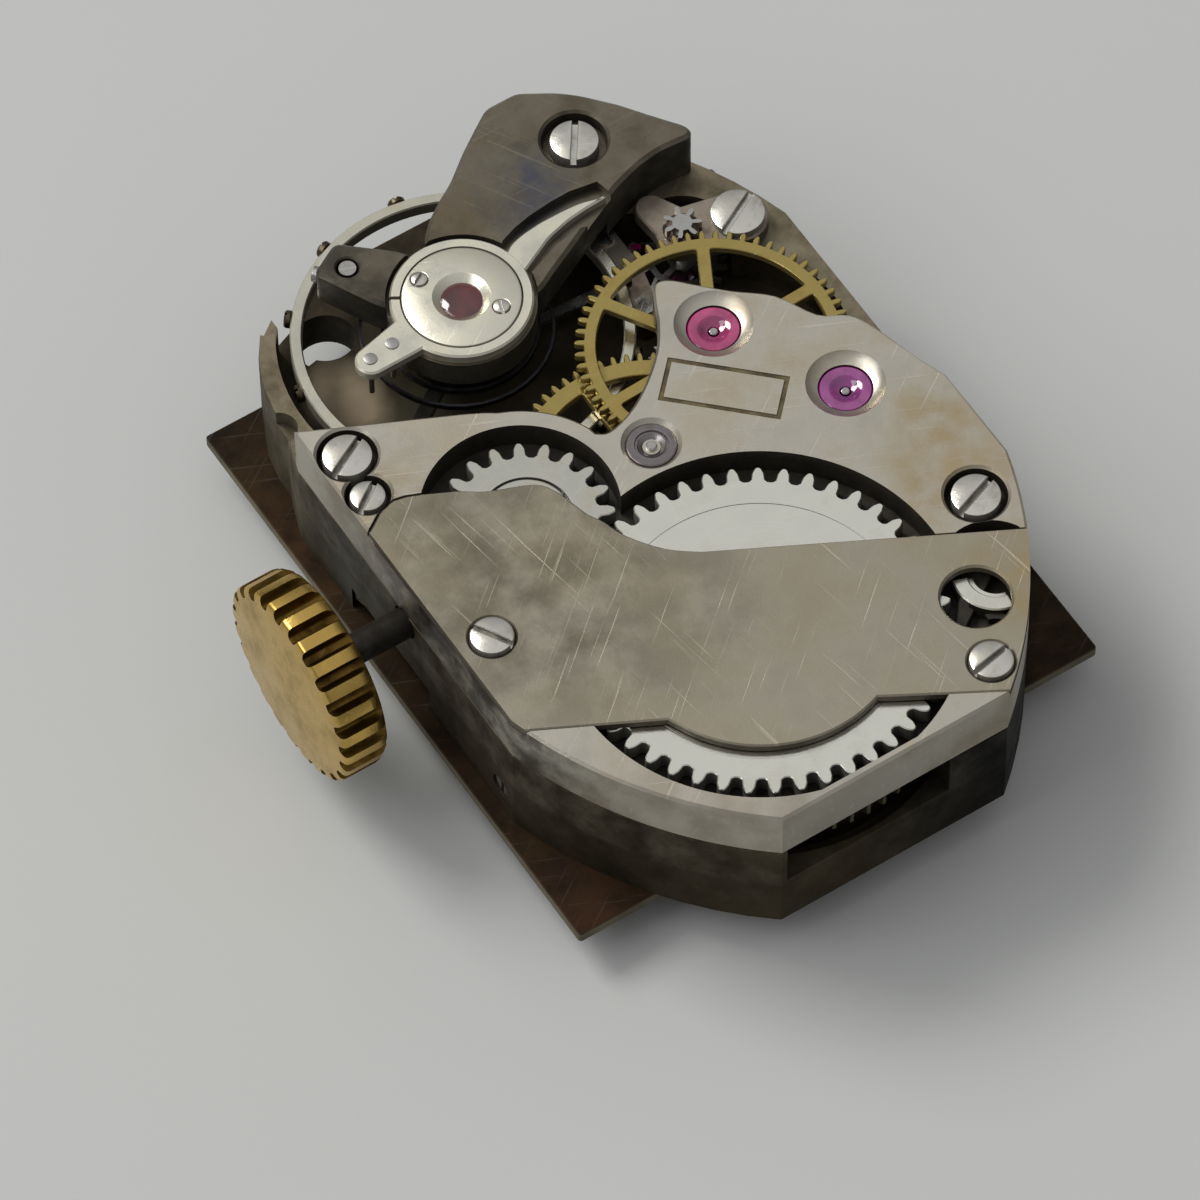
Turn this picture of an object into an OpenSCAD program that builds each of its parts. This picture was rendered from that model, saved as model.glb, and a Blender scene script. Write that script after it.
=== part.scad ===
// Small shaped hand-wound watch movement, lying with its bridges upwards.
// The origin is on the centre wheel's axis at the dial's face. +X points away
// from the crown, +Y towards the balance and +Z from the dial to the bridges.

/* [Case fit] */
// Width of the main plate across its straight sides
plate_w = 10.4; // [10.2:0.05:11]
// Length of the main plate over its two flats
plate_l = 15.6; // [15.5:0.05:16.4]
// Radius of the four long corner arcs of the plate
corner_arc_r = 8.5; // [8.3:0.05:9]
// Thickness of the dial
dial_t = 0.35; // [0.2:0.01:0.45]
// Width of the dial
dial_w = 11.0; // [10.6:0.1:12]
// Length of the dial
dial_l = 12.6; // [12.2:0.1:14]
// Thickness of the main plate
plate_t = 2.2; // [2.18:0.01:2.3]
// Height of the bridges above the plate
bridge_t = 1.15; // [1.12:0.01:1.25]

/* [Winding work] */
// Teeth of the crown wheel
crown_wheel_teeth = 20; // [18:1:22]
// Teeth of the ratchet wheel
ratchet_teeth = 45; // [40:1:50]
// Teeth of the winding pinion
winding_pinion_teeth = 13; // [12:1:14]
// Thickness of the ratchet and crown wheels
winding_wheel_t = 0.35; // [0.28:0.01:0.36]
// Radius of the crown
crown_r = 1.93; // [1.6:0.01:2.1]
// Thickness of the crown
crown_t = 0.95; // [0.7:0.01:1.2]
// Flutes round the crown
crown_flutes = 24; // [18:1:30]
// Radius of the winding stem
stem_r = 0.3; // [0.24:0.01:0.32]
// Travel of the crown when it is pulled to set the hands
pull_travel = 0.4; // [0.3:0.01:0.42]

/* [Train] */
// Teeth of the barrel
barrel_teeth = 64; // [60:1:70]
// Leaves of the centre pinion
centre_leaves = 16; // [14:1:18]
// Teeth of the centre wheel
centre_teeth = 64; // [60:1:66]
// Leaves of the third pinion
third_leaves = 30; // [28:1:32]
// Teeth of the third wheel
third_teeth = 38; // [36:1:40]
// Leaves of the fourth pinion
fourth_leaves = 30; // [28:1:32]
// Teeth of the fourth wheel
fourth_teeth = 60; // [58:1:64]
// Leaves of the escape pinion
escape_leaves = 7; // [6:1:8]
// Teeth of the escape wheel
escape_teeth = 15; // [12:1:16]
// Thickness of the train wheels
wheel_t = 0.16; // [0.13:0.01:0.16]
// Radius of an arbor between its pivots
arbor_r = 0.16; // [0.14:0.01:0.18]
// Radius of a pivot
pivot_r = 0.08; // [0.06:0.005:0.1]

/* [Balance] */
// Outer radius of the balance rim
balance_r = 3.12; // [3.05:0.01:3.15]
// Radius of the escape wheel over its teeth
escape_r = 0.85; // [0.78:0.01:0.87]
// Width of the balance rim
rim_w = 0.22; // [0.18:0.01:0.3]
// Height of the balance rim
rim_h = 0.3; // [0.24:0.01:0.32]
// Timing screws round the rim
timing_screw_count = 12; // [8:2:14]
// Turns of the hairspring
hairspring_turns = 9; // [6:1:10]

/* [Motion work] */
// Leaves of the cannon pinion
cannon_leaves = 10; // [9:1:12]
// Teeth of the minute wheel
minute_teeth = 30; // [28:1:32]
// Leaves of the minute pinion
minute_leaves = 8; // [7:1:9]
// Teeth of the hour wheel
hour_teeth = 32; // [30:1:34]
// Radius of the hour hand's seat
hour_seat_r = 0.64; // [0.64:0.01:0.68]
// Radius of the minute hand's seat
minute_seat_r = 0.32; // [0.31:0.005:0.33]

/* [Fasteners] */
// Radius of a large screw head
screw_head_r = 0.45; // [0.38:0.01:0.48]
// Radius of a cover screw head
cover_head_r = 0.4; // [0.34:0.01:0.45]
// Width of a screw slot
slot_w = 0.11; // [0.08:0.01:0.14]
// Radius of a pressed jewel
jewel_r = 0.5; // [0.4:0.01:0.55]

/* [Hidden] */
$fn = 64;

// Running clearances, radial and axial, and a cut's overrun
fit = 0.03;
gap = 0.05;
over = 0.2;

// Levels above the dial's face
plate_z = dial_t;
seam_z = plate_z + plate_t;
top_z = seam_z + bridge_t;
motion_ceiling = plate_z + 0.63;
well_floor = motion_ceiling + 0.5;
barrel_floor = motion_ceiling + 0.3;
cover_t = 0.17;
recess_floor = top_z - 0.6;
cover_z = top_z - cover_t;

// Places of the axes
centre_at = [0, 0];
ratchet_at = [-0.46, -4.2];
crown_wheel_at = [-2.62, 0];
third_at = [3.59, -0.81];
fourth_at = [2.33, 1.55];
escape_at = [3.31, 4.08];
pallet_at = [2.15, 4.21];
balance_at = [-1.13, 4.5];
minute_at = [-1.35, -1.19];
setting_at = [-3.15, -0.37];
stem_z = 2.25;

// Direction and distance between two axes
function heading(a, b) = atan2(b.y - a.y, b.x - a.x);
function spacing(a, b) = norm(b - a);
function polar(r, a) = [r * cos(a), r * sin(a)];
function gear_module(a, b, na, nb) = 2 * spacing(a, b) / (na + nb);

// Phase of a gear of nb teeth that meshes with one of na teeth at phase pa,
// where way is the direction from the first axis to the second
function mesh_phase(pa, na, nb, way) =
    way + 180 - 360 / nb * ((pa - way) * na / 360 + 0.5);

// Modules and phases of the gear pairs
winding_m = gear_module(crown_wheel_at, ratchet_at, crown_wheel_teeth, ratchet_teeth);
barrel_m = gear_module(ratchet_at, centre_at, barrel_teeth, centre_leaves);
centre_m = gear_module(centre_at, third_at, centre_teeth, third_leaves);
third_m = gear_module(third_at, fourth_at, third_teeth, fourth_leaves);
fourth_m = gear_module(fourth_at, escape_at, fourth_teeth, escape_leaves);
motion_m = gear_module(centre_at, minute_at, cannon_leaves, minute_teeth);
setting_teeth = 14;
crown_wheel_phase = 180 + 180 / crown_wheel_teeth;
ratchet_phase = mesh_phase(crown_wheel_phase, crown_wheel_teeth, ratchet_teeth,
                           heading(crown_wheel_at, ratchet_at));
centre_leaf_phase = mesh_phase(0, barrel_teeth, centre_leaves, heading(ratchet_at, centre_at));
third_leaf_phase = mesh_phase(0, centre_teeth, third_leaves, heading(centre_at, third_at));
fourth_leaf_phase = mesh_phase(0, third_teeth, fourth_leaves, heading(third_at, fourth_at));
escape_leaf_phase = mesh_phase(2, fourth_teeth, escape_leaves, heading(fourth_at, escape_at));
minute_phase = mesh_phase(0, cannon_leaves, minute_teeth, heading(centre_at, minute_at));
hour_phase = mesh_phase(0, minute_leaves, hour_teeth, heading(minute_at, centre_at));
setting_phase = mesh_phase(minute_phase, minute_teeth, setting_teeth,
                           heading(minute_at, setting_at));

// Train levels, each the lower face of a wheel or pinion
barrel_z = barrel_floor + gap;
barrel_h = seam_z - 0.1 - barrel_z;
tooth_band = 0.4;
barrel_teeth_z = barrel_z + barrel_h - tooth_band;
centre_wheel_z = seam_z + 0.1;
third_wheel_z = 1.9;
fourth_wheel_z = top_z - 0.8;
escape_wheel_z = 1.85;
pallet_z = 1.85;
balance_z = 2.3;
spring_z = balance_z + rim_h + 0.1;
cock_under_z = spring_z + 0.22;
winding_wheel_z = recess_floor + gap;

// Colours
nickel = [0.66, 0.65, 0.61];
dark_nickel = [0.42, 0.4, 0.36];
steel = [0.78, 0.78, 0.76];
brass = [0.76, 0.63, 0.32];
ruby = [0.62, 0.1, 0.35];
blue_steel = [0.3, 0.32, 0.36];

// Toothed disc: six points to a tooth, straight flanks and a narrowed tip
module gear2d(teeth, m, phase = 0, add = 0.85, ded = 1.25, share = 0.4, tip_share = 0.2) {
    pitch_r = m * teeth / 2;
    tip_r = pitch_r + add * m;
    root_r = pitch_r - ded * m;
    half_pitch = 360 / teeth * share / 2;
    half_root = half_pitch * 1.15;
    half_tip = 360 / teeth * tip_share / 2;
    polygon([for (i = [0:teeth - 1]) let (a = phase + 360 * i / teeth)
        each [polar(root_r, a - half_root), polar(pitch_r, a - half_pitch),
              polar(tip_r, a - half_tip), polar(tip_r, a + half_tip),
              polar(pitch_r, a + half_pitch), polar(root_r, a + half_root)]]);
}

// Windows between the spokes of a wheel, as ring sectors with parallel spokes
module spoke_windows(inner_r, outer_r, spokes, spoke_w, phase = 0) {
    difference() {
        circle(outer_r);
        circle(inner_r);
        for (i = [0:spokes - 1])
            rotate(phase + 360 * i / spokes) translate([0, -spoke_w / 2])
                square([outer_r + over, spoke_w]);
    }
}

module disc(r, z0, z1) {
    translate([0, 0, z0]) cylinder(r = r, h = z1 - z0);
}

module ring(outer_r, inner_r, z0, z1) {
    translate([0, 0, z0]) linear_extrude(z1 - z0)
        difference() {
            circle(outer_r);
            circle(inner_r);
        }
}

module slab(z0, z1) {
    translate([0, 0, z0]) linear_extrude(z1 - z0) children();
}

// Flat link between two round ends
module link2d(a, b, ra, rb) {
    along = (b - a) / norm(b - a);
    across = [-along.y, along.x];
    translate(a) circle(ra);
    translate(b) circle(rb);
    polygon([a + across * ra, a - across * ra, b - across * rb, b + across * rb]);
}

// Slotted screw with its head from head_z up, and a shank below
module screw(head_r, head_z, head_h, shank_r, shank_l, turn, slot_depth = 0.16) {
    difference() {
        union() {
            disc(head_r, head_z, head_z + head_h);
            disc(shank_r, head_z - shank_l, head_z);
        }
        rotate(turn) translate([-head_r - over, -slot_w / 2, head_z + head_h - slot_depth])
            cube([2 * head_r + 2 * over, slot_w, slot_depth + over]);
    }
}

// Outlines in plan
module plate_outline(inset = 0) {
    arc_centre = [2.96, 1.17];
    difference() {
        square([plate_w - 2 * inset, plate_l - 2 * inset], center = true);
        // Each corner is cut back to an arc centred across the plate
        for (sx = [-1, 1], sy = [-1, 1]) scale([sx, sy])
            difference() {
                square([plate_w, plate_l]);
                translate([-arc_centre.x, arc_centre.y]) circle(corner_arc_r - inset, $fn = 128);
            }
    }
}

// Opening above the balance and the fourth wheel, as the bridge's upper edge
bridge_edge = [[-6, 4.15], [-5.1, 3.65], [-2.5, 2.4], [-1.93, 2.07]];
finger_edge = [[-0.7, 0.73], [-0.47, 0.63], [0.07, 0.8], [0.6, 1.13], [1.13, 1.6],
               [1.47, 2.07], [1.73, 2.6], [1.93, 2.87], [2.2, 2.8], [2.53, 2.47], [3.0, 2.0],
               [3.6, 1.47], [4.0, 0.73], [4.47, 0.4], [4.73, -0.13], [5.07, -1.27], [5.6, -2.6]];
crown_ring_r = 2.13;
crown_ring_at = [-2.7, 0.08];

module bridge_outline() {
    difference() {
        plate_outline();
        difference() {
            polygon(concat(bridge_edge, finger_edge, [[9, -2.6], [9, 9], [-6, 9]]));
            translate(crown_ring_at) circle(crown_ring_r);
        }
    }
}

// Steel cover over the winding wheels
cover_top = [[-5.15, 1.15], [-4.47, 1.47], [-3.5, 1.07], [-3.0, 0.75], [-2.2, 0.4],
             [-1.95, 0.05], [-1.85, -0.3], [-1.75, -0.65], [-1.6, -0.93], [-1.43, -1.4],
             [-1.0, -2.0], [-0.5, -2.4], [3.0, -4.27], [6, -5.87]];
cover_under = [[6, -9.7], [2.53, -7.83], [0.7, -6.77]];
cover_under_left = [[-2.9, -5.0], [-5.0, -3.9], [-5.15, -3.82]];

cover_arc_r = 2.55;

module cover_outline(grow = 0) {
    intersection() {
        plate_outline(-grow);
        grown_outline(concat(cover_top, cover_under,
            [for (a = [-70:-11:-158]) ratchet_at + polar(cover_arc_r, a)],
            cover_under_left), grow);
    }
}

// A straight-sided outline, grown by drawing it a little further out each way
module grown_outline(points, grow) {
    polygon(points);
    if (grow > 0)
        for (step = [[grow, 0], [-grow, 0], [0, grow], [0, -grow]])
            translate(step) polygon(points);
}

// Hollows of the main plate, seen from the bridge side
module train_well() {
    translate(balance_at) circle(balance_r + 0.26, $fn = 128);
    translate(fourth_at) circle(2.6, $fn = 128);
    translate(escape_at) circle(escape_r + 0.12);
    translate(pallet_at) circle(1.1);
    translate(third_at) circle(1.66);
    circle(centre_m + 1.0);
}

module barrel_well() {
    translate(ratchet_at) circle(barrel_m * (barrel_teeth / 2 + 0.85) + 0.04, $fn = 128);
}

// Stem passage: the stem's hole, the winding pinion's and the sliding pinion's pockets
pinion_x0 = -4.3;
pinion_x1 = -3.95;
slider_x0 = -3.9;
slider_l = 0.5;
slider_r = 0.5;
slider_travel = 0.3;
groove_x = -4.55;
stem_inner_end = -2.8;
winding_tip_r = winding_wheel_z - stem_z + 0.05;

module stem_passage() {
    translate([0, 0, stem_z]) rotate([0, -90, 0]) {
        translate([0, 0, 4.2]) cylinder(r = stem_r + fit, h = 2);
        translate([0, 0, 2.6]) cylinder(r = 0.15 + fit, h = 1);
    }
    translate([pinion_x0 - gap, -winding_tip_r - 0.1, stem_z - winding_tip_r - 0.1])
        cube([pinion_x1 - pinion_x0 + 2 * gap, 2 * winding_tip_r + 0.2, 2 * winding_tip_r + 0.15]);
    translate([pinion_x1, -slider_r - 0.15, stem_z - slider_r - 0.08])
        cube([-3.05 - pinion_x1, 2 * slider_r + 0.3, 2 * slider_r + 0.13]);
}

// Main plate
dial_screw_y = 5.2;
setting_screw_at = [-4.78, 1.83];
lever_pin_at = [groove_x, 0];
yoke_pivot_at = [-3.2, 2.0];

// The plate's edge stands out round the balance
balance_bulge = [[-4.7, 4.0], [-4.86, 4.3], [-4.86, 4.9], [-4.75, 5.45], [-4.5, 6.05],
                 [-4.15, 6.55], [-3.75, 6.85], [-3.0, 7.15], [-2.6, 6.6], [-4.2, 4.0]];

module main_plate() {
    color(dark_nickel)
    difference() {
        slab(plate_z, seam_z) {
            plate_outline();
            polygon(balance_bulge);
        }
        // The rim is cut down beside the balance, clear of the cock's foot
        slab(plate_z + 0.85, seam_z + over)
            polygon([[-3.75, 8.2], [-3.75, 6.0], [-0.1, 6.72], [0.62, 7.28], [1.09, 7.6],
                     [1.42, plate_l / 2 + over], [1.42, 8.2]]);
        slab(well_floor, seam_z + over) train_well();
        slab(barrel_floor, seam_z + over) {
            barrel_well();
            circle(centre_m + 1.0);
        }
        // Window in the end wall through which the barrel shows
        translate([-2.25, -plate_l / 2 - over, seam_z - 0.95])
            cube([3.4, 1.0, 0.95 + over]);
        // Dial side: motion work, setting wheel and setting lever
        slab(plate_z - over, motion_ceiling) {
            circle(hour_teeth * motion_m / 2 + 0.2);
            translate(minute_at) circle(minute_teeth * motion_m / 2 + 0.2);
            translate(setting_at) circle(setting_teeth * motion_m / 2 + 0.2);
            link2d(setting_screw_at, [-4.2, 0], 0.42, 0.42);
            link2d(setting_screw_at, [-5.0, 0], 0.42, 0.36);
            translate([-5.3, -0.75]) square([1.2, 1.5]);
            translate([-4.9, 1.2]) square([2.4, 1.5]);
        }
        stem_passage();
        // Slot for the setting lever's pin, and pocket for the yoke
        translate([groove_x - pull_travel - 0.16, -0.2, motion_ceiling - over])
            cube([pull_travel + 0.34, 0.4, stem_z - motion_ceiling + over]);
        slab(1.7, seam_z + over) {
            link2d(yoke_pivot_at, [-3.45, 0.5], 0.42, 0.42);
            link2d(yoke_pivot_at, [-4.1, 1.75], 0.3, 0.2);
            translate([-3.9, -0.6]) square([0.8, 1.4]);
        }
        // Bearing holes
        disc(centre_journal_r + fit, motion_ceiling - over, barrel_floor + over);
        translate(ratchet_at) disc(0.4, motion_ceiling - 0.3, barrel_floor + over);
        for (at = [third_at, fourth_at, escape_at, pallet_at])
            translate(at) disc(0.3, motion_ceiling + 0.1, well_floor + over);
        translate(balance_at) disc(0.42, motion_ceiling - 0.2, well_floor + over);
        // Screw holes
        for (at = [bridge_screw_a, bridge_screw_b])
            translate(at) disc(0.24, 1.6, seam_z + over);
        translate(setting_screw_at) disc(0.2, motion_ceiling - over, seam_z + over);
        translate(cock_screw_at) disc(0.24, 1.6, seam_z + over);
        translate(escape_screw_at) disc(escape_shank_r + 0.01, 1.5, seam_z + over);
        translate([-2.85, 6.5]) disc(0.6, plate_z - over, seam_z + over);
        for (at = pallet_screws_at)
            translate(at) disc(0.1, 1.1, seam_z);
        // Dial feet and their side screws
        for (side = [-1, 1]) {
            translate([side * dial_foot_at.x, side * dial_foot_at.y])
                disc(dial_foot_r + 0.02, plate_z - over, plate_z + dial_foot_h + gap);
            translate([side * (plate_w / 2 + over), side * dial_foot_at.y, dial_screw_z])
                rotate([0, -side * 90, 0]) cylinder(r = dial_screw_r + 0.02, h = dial_screw_reach + over);
        }
        // Notches in the rim beside the balance
        for (at = [[-5.0, 4.55], [-3.95, 6.7]])
            translate(at) disc(0.35, seam_z - 0.35, seam_z + over);
    }
    // Posts of the minute and setting wheels, on the dial side
    color(dark_nickel)
    for (at = [minute_at, setting_at])
        translate(at) disc(0.15, plate_z + 0.02, motion_ceiling);
    // Seat of the escape cock and of the pallet bridge
    color(dark_nickel) {
        slab(well_floor, seam_z) intersection() {
            difference() {
                translate(escape_screw_at) circle(0.45);
                translate(escape_screw_at) circle(escape_shank_r + 0.01);
                translate(escape_at) circle(escape_r + 0.05);
            }
            plate_outline();
        }
        for (at = pallet_screws_at)
            translate(at) ring(0.2, 0.1, well_floor, pallet_bridge_z);
    }
}

dial_foot_at = [plate_w / 2 - 1, 3.1];
dial_foot_h = 0.95;
dial_screw_z = plate_z + 0.6;
dial_screw_r = 0.22;
dial_foot_r = 0.28;
dial_screw_reach = plate_w / 2 - dial_foot_at.x - dial_foot_r + 0.08;

bridge_screw_a = [-4.64, 2.74];
bridge_screw_b = [4.21, -4.03];
cover_screw_a = [-4.55, -1.9];
cover_screw_b = [2.47, -7.07];
cock_screw_at = [2.44, 6.33];
escape_screw_at = [4.32, 3.79];
escape_shank_r = 0.1;
pallet_bridge_z = 2.04;
pallet_bridge_t = 0.2;
pallet_screws_at = [[2.05, 3.37], [2.25, 5.05]];

module dial() {
    color([0.36, 0.24, 0.14])
    difference() {
        union() {
            slab(0, dial_t) translate([0, 0.15]) square([dial_w, dial_l], center = true);
            for (side = [-1, 1])
                translate([side * dial_foot_at.x, side * dial_foot_at.y])
                    disc(dial_foot_r, dial_t, plate_z + dial_foot_h);
        }
        disc(hour_seat_r + seat_step + 0.05, -over, dial_t + over);
    }
}

// Train bridge, one piece over the barrel and the train
jewel_sink_r = 0.7;
jewel_seat_z = top_z - 0.46;
centre_bush_r = 0.45;
centre_bush_neck_r = 0.22;
centre_journal_r = 0.24;

module bridge_recess_edges() {
    translate(crown_ring_at) circle(1.79);
    translate(ratchet_at) circle(3.6, $fn = 128);
    // Room for the click and its spring
    link2d(click_at, [2.6, -6.3], 0.42, 0.5);
    link2d([2.6, -6.3], [3.25, -6.3], 0.5, 0.62);
}

module train_bridge() {
    color(nickel)
    difference() {
        slab(seam_z, top_z) bridge_outline();
        slab(recess_floor, top_z + over) intersection() {
            bridge_recess_edges();
            plate_outline(0.12);
        }
        slab(cover_z, top_z + over) cover_outline(0.04);
        // Under side: centre wheel, third pinion, fourth wheel and the pinions of the stem
        disc(2.72, seam_z - over, centre_wheel_z + wheel_t + 0.07);
        translate(third_at) disc(1.36, seam_z - over, centre_wheel_z + wheel_t + 0.1);
        translate(fourth_at)
            disc(fourth_m * (fourth_teeth / 2 + 0.85) + 0.08, seam_z - over,
                 fourth_wheel_z + wheel_t + 0.08);
        stem_passage();
        slab(seam_z - over, seam_z + 0.1) translate(balance_at) circle(balance_r + 0.26, $fn = 128);
        // Bearings
        disc(0.52, top_z - 0.1, top_z + over);
        disc(centre_bush_r, 2, top_z);
        for (at = [third_at, fourth_at]) translate(at) {
            disc(0.3, seam_z - over, jewel_seat_z + over);
            disc(jewel_r, jewel_seat_z, top_z);
            translate([0, 0, top_z - 0.14])
                cylinder(r1 = jewel_r, r2 = jewel_sink_r, h = 0.14 + 0.001);
        }
        translate(ratchet_at) disc(0.42, seam_z - over, top_z);
        // Screws
        translate(bridge_screw_a) {
            disc(screw_head_r + 0.1, top_z - 0.4, top_z + over);
            disc(0.24, seam_z - over, top_z);
        }
        translate(bridge_screw_b) {
            disc(screw_head_r + 0.12, top_z - 0.4, top_z + over);
            disc(0.24, seam_z - over, top_z);
        }
        translate(setting_screw_at) {
            disc(0.42, top_z - 0.5, top_z + over);
            disc(0.2, seam_z - over, top_z);
        }
        for (at = [cover_screw_a, cover_screw_b])
            translate(at) disc(0.17, seam_z + 0.3, top_z);
        translate(click_at) disc(0.15, seam_z + 0.1, top_z);
        // Bare cartouche beside the upper jewel
        translate([1.72, 0.28, top_z - 0.03]) rotate(-44) {
            linear_extrude(0.2) difference() {
                square([2.2, 0.92], center = true);
                square([2.06, 0.78], center = true);
            }
        }
    }
}

// Steel cover plate, flush in the bridge
click_at = [3.55, -5.1];
cover_hole_at = [3.0, -5.82];

module cover_plate() {
    color([0.6, 0.57, 0.47])
    difference() {
        slab(cover_z, top_z) cover_outline();
        translate(cover_hole_at) disc(0.63, cover_z - over, top_z + over);
        for (at = [cover_screw_a, cover_screw_b])
            translate(at) {
                disc(cover_head_r + 0.03, top_z - 0.1, top_z + over);
                disc(0.17, cover_z - over, top_z + over);
            }
        // Notch beside the setting lever's screw
        translate(setting_screw_at) disc(0.42, cover_z - over, top_z + over);
    }
}

// Balance cock: a foot on the plate and a lobe over the balance
cock_edge = [[1.47, 7.8], [2.13, 7.8], [2.73, 7.43], [3.07, 7.13], [3.53, 6.6], [4.0, 5.93],
             [4.3, 5.53], [4.33, 5.35], [4.24, 5.24], [4.0, 5.27], [3.6, 5.3], [3.13, 5.23],
             [2.6, 5.07], [2.27, 4.93], [1.73, 4.67], [1.07, 4.33], [0.53, 4.07],
             [0.17, 3.87], [-0.6, 3.9], [-1.7, 4.3]];
stud_lobe = [[-2.1, 4.8], [-2.47, 5.2], [-3.07, 6.4], [-2.4, 6.77], [-1.53, 6.0], [-1.2, 5.5]];
cock_upper_edge = [[-1.0, 5.97], [-0.7, 6.27], [-0.33, 6.53], [0.07, 6.77], [0.6, 7.2],
                   [1.07, 7.53]];
stud_at = [-2.5, 6.17];
stud_r = 0.16;
end_piece_r = 1.09;
regulator_r = 1.3;
regulator_swing = 6;
regulator_z = top_z - 0.2;
cock_lobe_r = 1.36;

module balance_cock() {
    color(dark_nickel)
    difference() {
        union() {
            slab(seam_z, top_z) polygon(concat(cock_edge, stud_lobe, cock_upper_edge));
            translate(balance_at) disc(cock_lobe_r, cock_under_z, top_z);
        }
        translate(balance_at) {
            disc(balance_r + 0.26, seam_z - over, cock_under_z);
            disc(cock_lobe_r + over, regulator_z, top_z + over);
            disc(0.5, seam_z, top_z);
        }
        slab(regulator_z, top_z + over) {
            for (turn = [-regulator_swing:3:regulator_swing])
                translate(balance_at) rotate(turn) translate(-balance_at) regulator_tail(0.06);
        }
        translate(cock_screw_at) {
            disc(screw_head_r + 0.16, top_z - 0.36, top_z + over);
            disc(0.24, seam_z - over, top_z);
        }
        for (at = end_screws_at)
            translate(at) disc(0.09, regulator_z - 0.3, top_z);
        translate(stud_at) disc(stud_r, seam_z, top_z + over);
        stud_screw_line() cylinder(r = 0.08, h = 1);
    }
}

curb_at = [-3.2, 4.23];
curb_pins_at = [[-3.21, 4.25], [-2.71, 4.32]];
end_screws_at = [[-1.57, 5.23], [-0.65, 3.93]];

// Pointer of the regulator, a long tapering tongue
module regulator_tail(grow = 0) {
    polygon([[-0.1, 4.75 + grow], [0.2, 5.0 + grow], [0.93, 5.13 + grow], [1.8, 5.13 + grow],
             [2.3 + grow, 4.95], [1.4, 4.88 - grow], [0.9, 4.75 - grow], [0.5, 4.55 - grow],
             [0.1, 4.35 - grow]]);
}

module regulator() {
    color([0.84, 0.82, 0.74]) {
        difference() {
            slab(regulator_z, top_z) difference() {
                union() {
                    translate(balance_at) circle(regulator_r);
                    regulator_tail();
                    link2d(balance_at + polar(1.0, 188), curb_at, 0.42, 0.3);
                }
                translate(balance_at) circle(end_piece_r + 0.02);
                // Slit that springs the ring round the end piece
                translate(balance_at) rotate(148) translate([1.0, -0.035]) square([0.5, 0.07]);
            }
        }
        // Curb pins, one each side of the hairspring's outer turn, riveted in the arm
        for (at = curb_pins_at)
            translate(at) {
                disc(curb_pin_r, spring_z - 0.02, regulator_z);
                disc(curb_rivet_r, top_z, top_z + 0.03);
            }
    }
}
curb_pin_r = 0.05;
curb_rivet_r = 0.13;

module end_piece() {
    color([0.84, 0.82, 0.74])
    translate(balance_at)
    difference() {
        disc(end_piece_r, regulator_z, top_z + 0.02);
        disc(0.38, regulator_z - over, top_z + over);
        translate([0, 0, top_z - 0.1]) cylinder(r1 = 0.38, r2 = 0.52, h = 0.121);
        for (at = end_screws_at)
            translate(at - balance_at) {
                disc(0.16, top_z - 0.08, top_z + over);
                disc(0.09, regulator_z - over, top_z);
            }
    }
}

module end_piece_screws() {
    color(steel)
    for (i = [0, 1])
        translate(end_screws_at[i])
            screw(0.16, top_z - 0.08, 0.14, 0.09, 0.35, [30, 70][i], slot_depth = 0.06);
}

// Hole and cap jewels at both ends of the balance staff
module balance_jewels() {
    color([0.3, 0.06, 0.08])
    translate(balance_at) {
        disc(0.38, top_z - 0.18, top_z - 0.06);
        ring(0.5, pivot_r + fit, cock_under_z + 0.1, cock_under_z + 0.3);
        ring(0.42, pivot_r + fit, motion_ceiling + 0.12, motion_ceiling + 0.3);
        disc(0.42, motion_ceiling - 0.16, motion_ceiling);
    }
}

// Escape cock, low on the plate under the fourth wheel's rim
escape_cock_z = seam_z;
escape_cock_t = fourth_wheel_z - seam_z - 0.04;

module escape_cock() {
    color(nickel)
    difference() {
        slab(escape_cock_z, escape_cock_z + escape_cock_t) {
            link2d(escape_at, escape_screw_at, 0.5, 0.56);
            link2d(escape_at, [3.1, 4.8], 0.45, 0.3);
        }
        translate(escape_at) disc(0.3, seam_z - over, 4);
        translate(escape_screw_at) disc(escape_shank_r + 0.01, seam_z - over, 4);
    }
}

// Pallet bridge, low in the plate
module pallet_bridge() {
    color(nickel)
    difference() {
        slab(pallet_bridge_z, pallet_bridge_z + pallet_bridge_t) {
            link2d(pallet_at, pallet_screws_at[0], 0.34, 0.24);
            link2d(pallet_at, pallet_screws_at[1], 0.34, 0.24);
        }
        translate(pallet_at) disc(pivot_r + fit, pallet_bridge_z - over, 4);
        for (at = pallet_screws_at)
            translate(at) disc(0.1, pallet_bridge_z - over, 4);
    }
}

module pallet_bridge_screws() {
    color(steel)
    for (i = [0, 1])
        translate(pallet_screws_at[i])
            screw(0.2, pallet_bridge_z + pallet_bridge_t, 0.1, 0.1, 0.8, 40 + 50 * i,
                  slot_depth = 0.06);
}

module bridge_screws() {
    color(steel) {
        translate(bridge_screw_a) screw(screw_head_r, top_z - 0.4, 0.38, 0.24, 1.6, 28);
        translate(bridge_screw_b) screw(screw_head_r, top_z - 0.4, 0.38, 0.24, 1.6, 20);
    }
}

module cover_screws() {
    color(steel) {
        translate(cover_screw_a) screw(cover_head_r, top_z - 0.1, 0.18, 0.17, 0.7, -60);
        translate(cover_screw_b) screw(cover_head_r, top_z - 0.1, 0.18, 0.17, 0.7, 10);
    }
}

module cock_screw() {
    color(steel)
    translate(cock_screw_at) screw(screw_head_r, top_z - 0.36, 0.34, 0.24, 1.6, 55);
}

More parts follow.
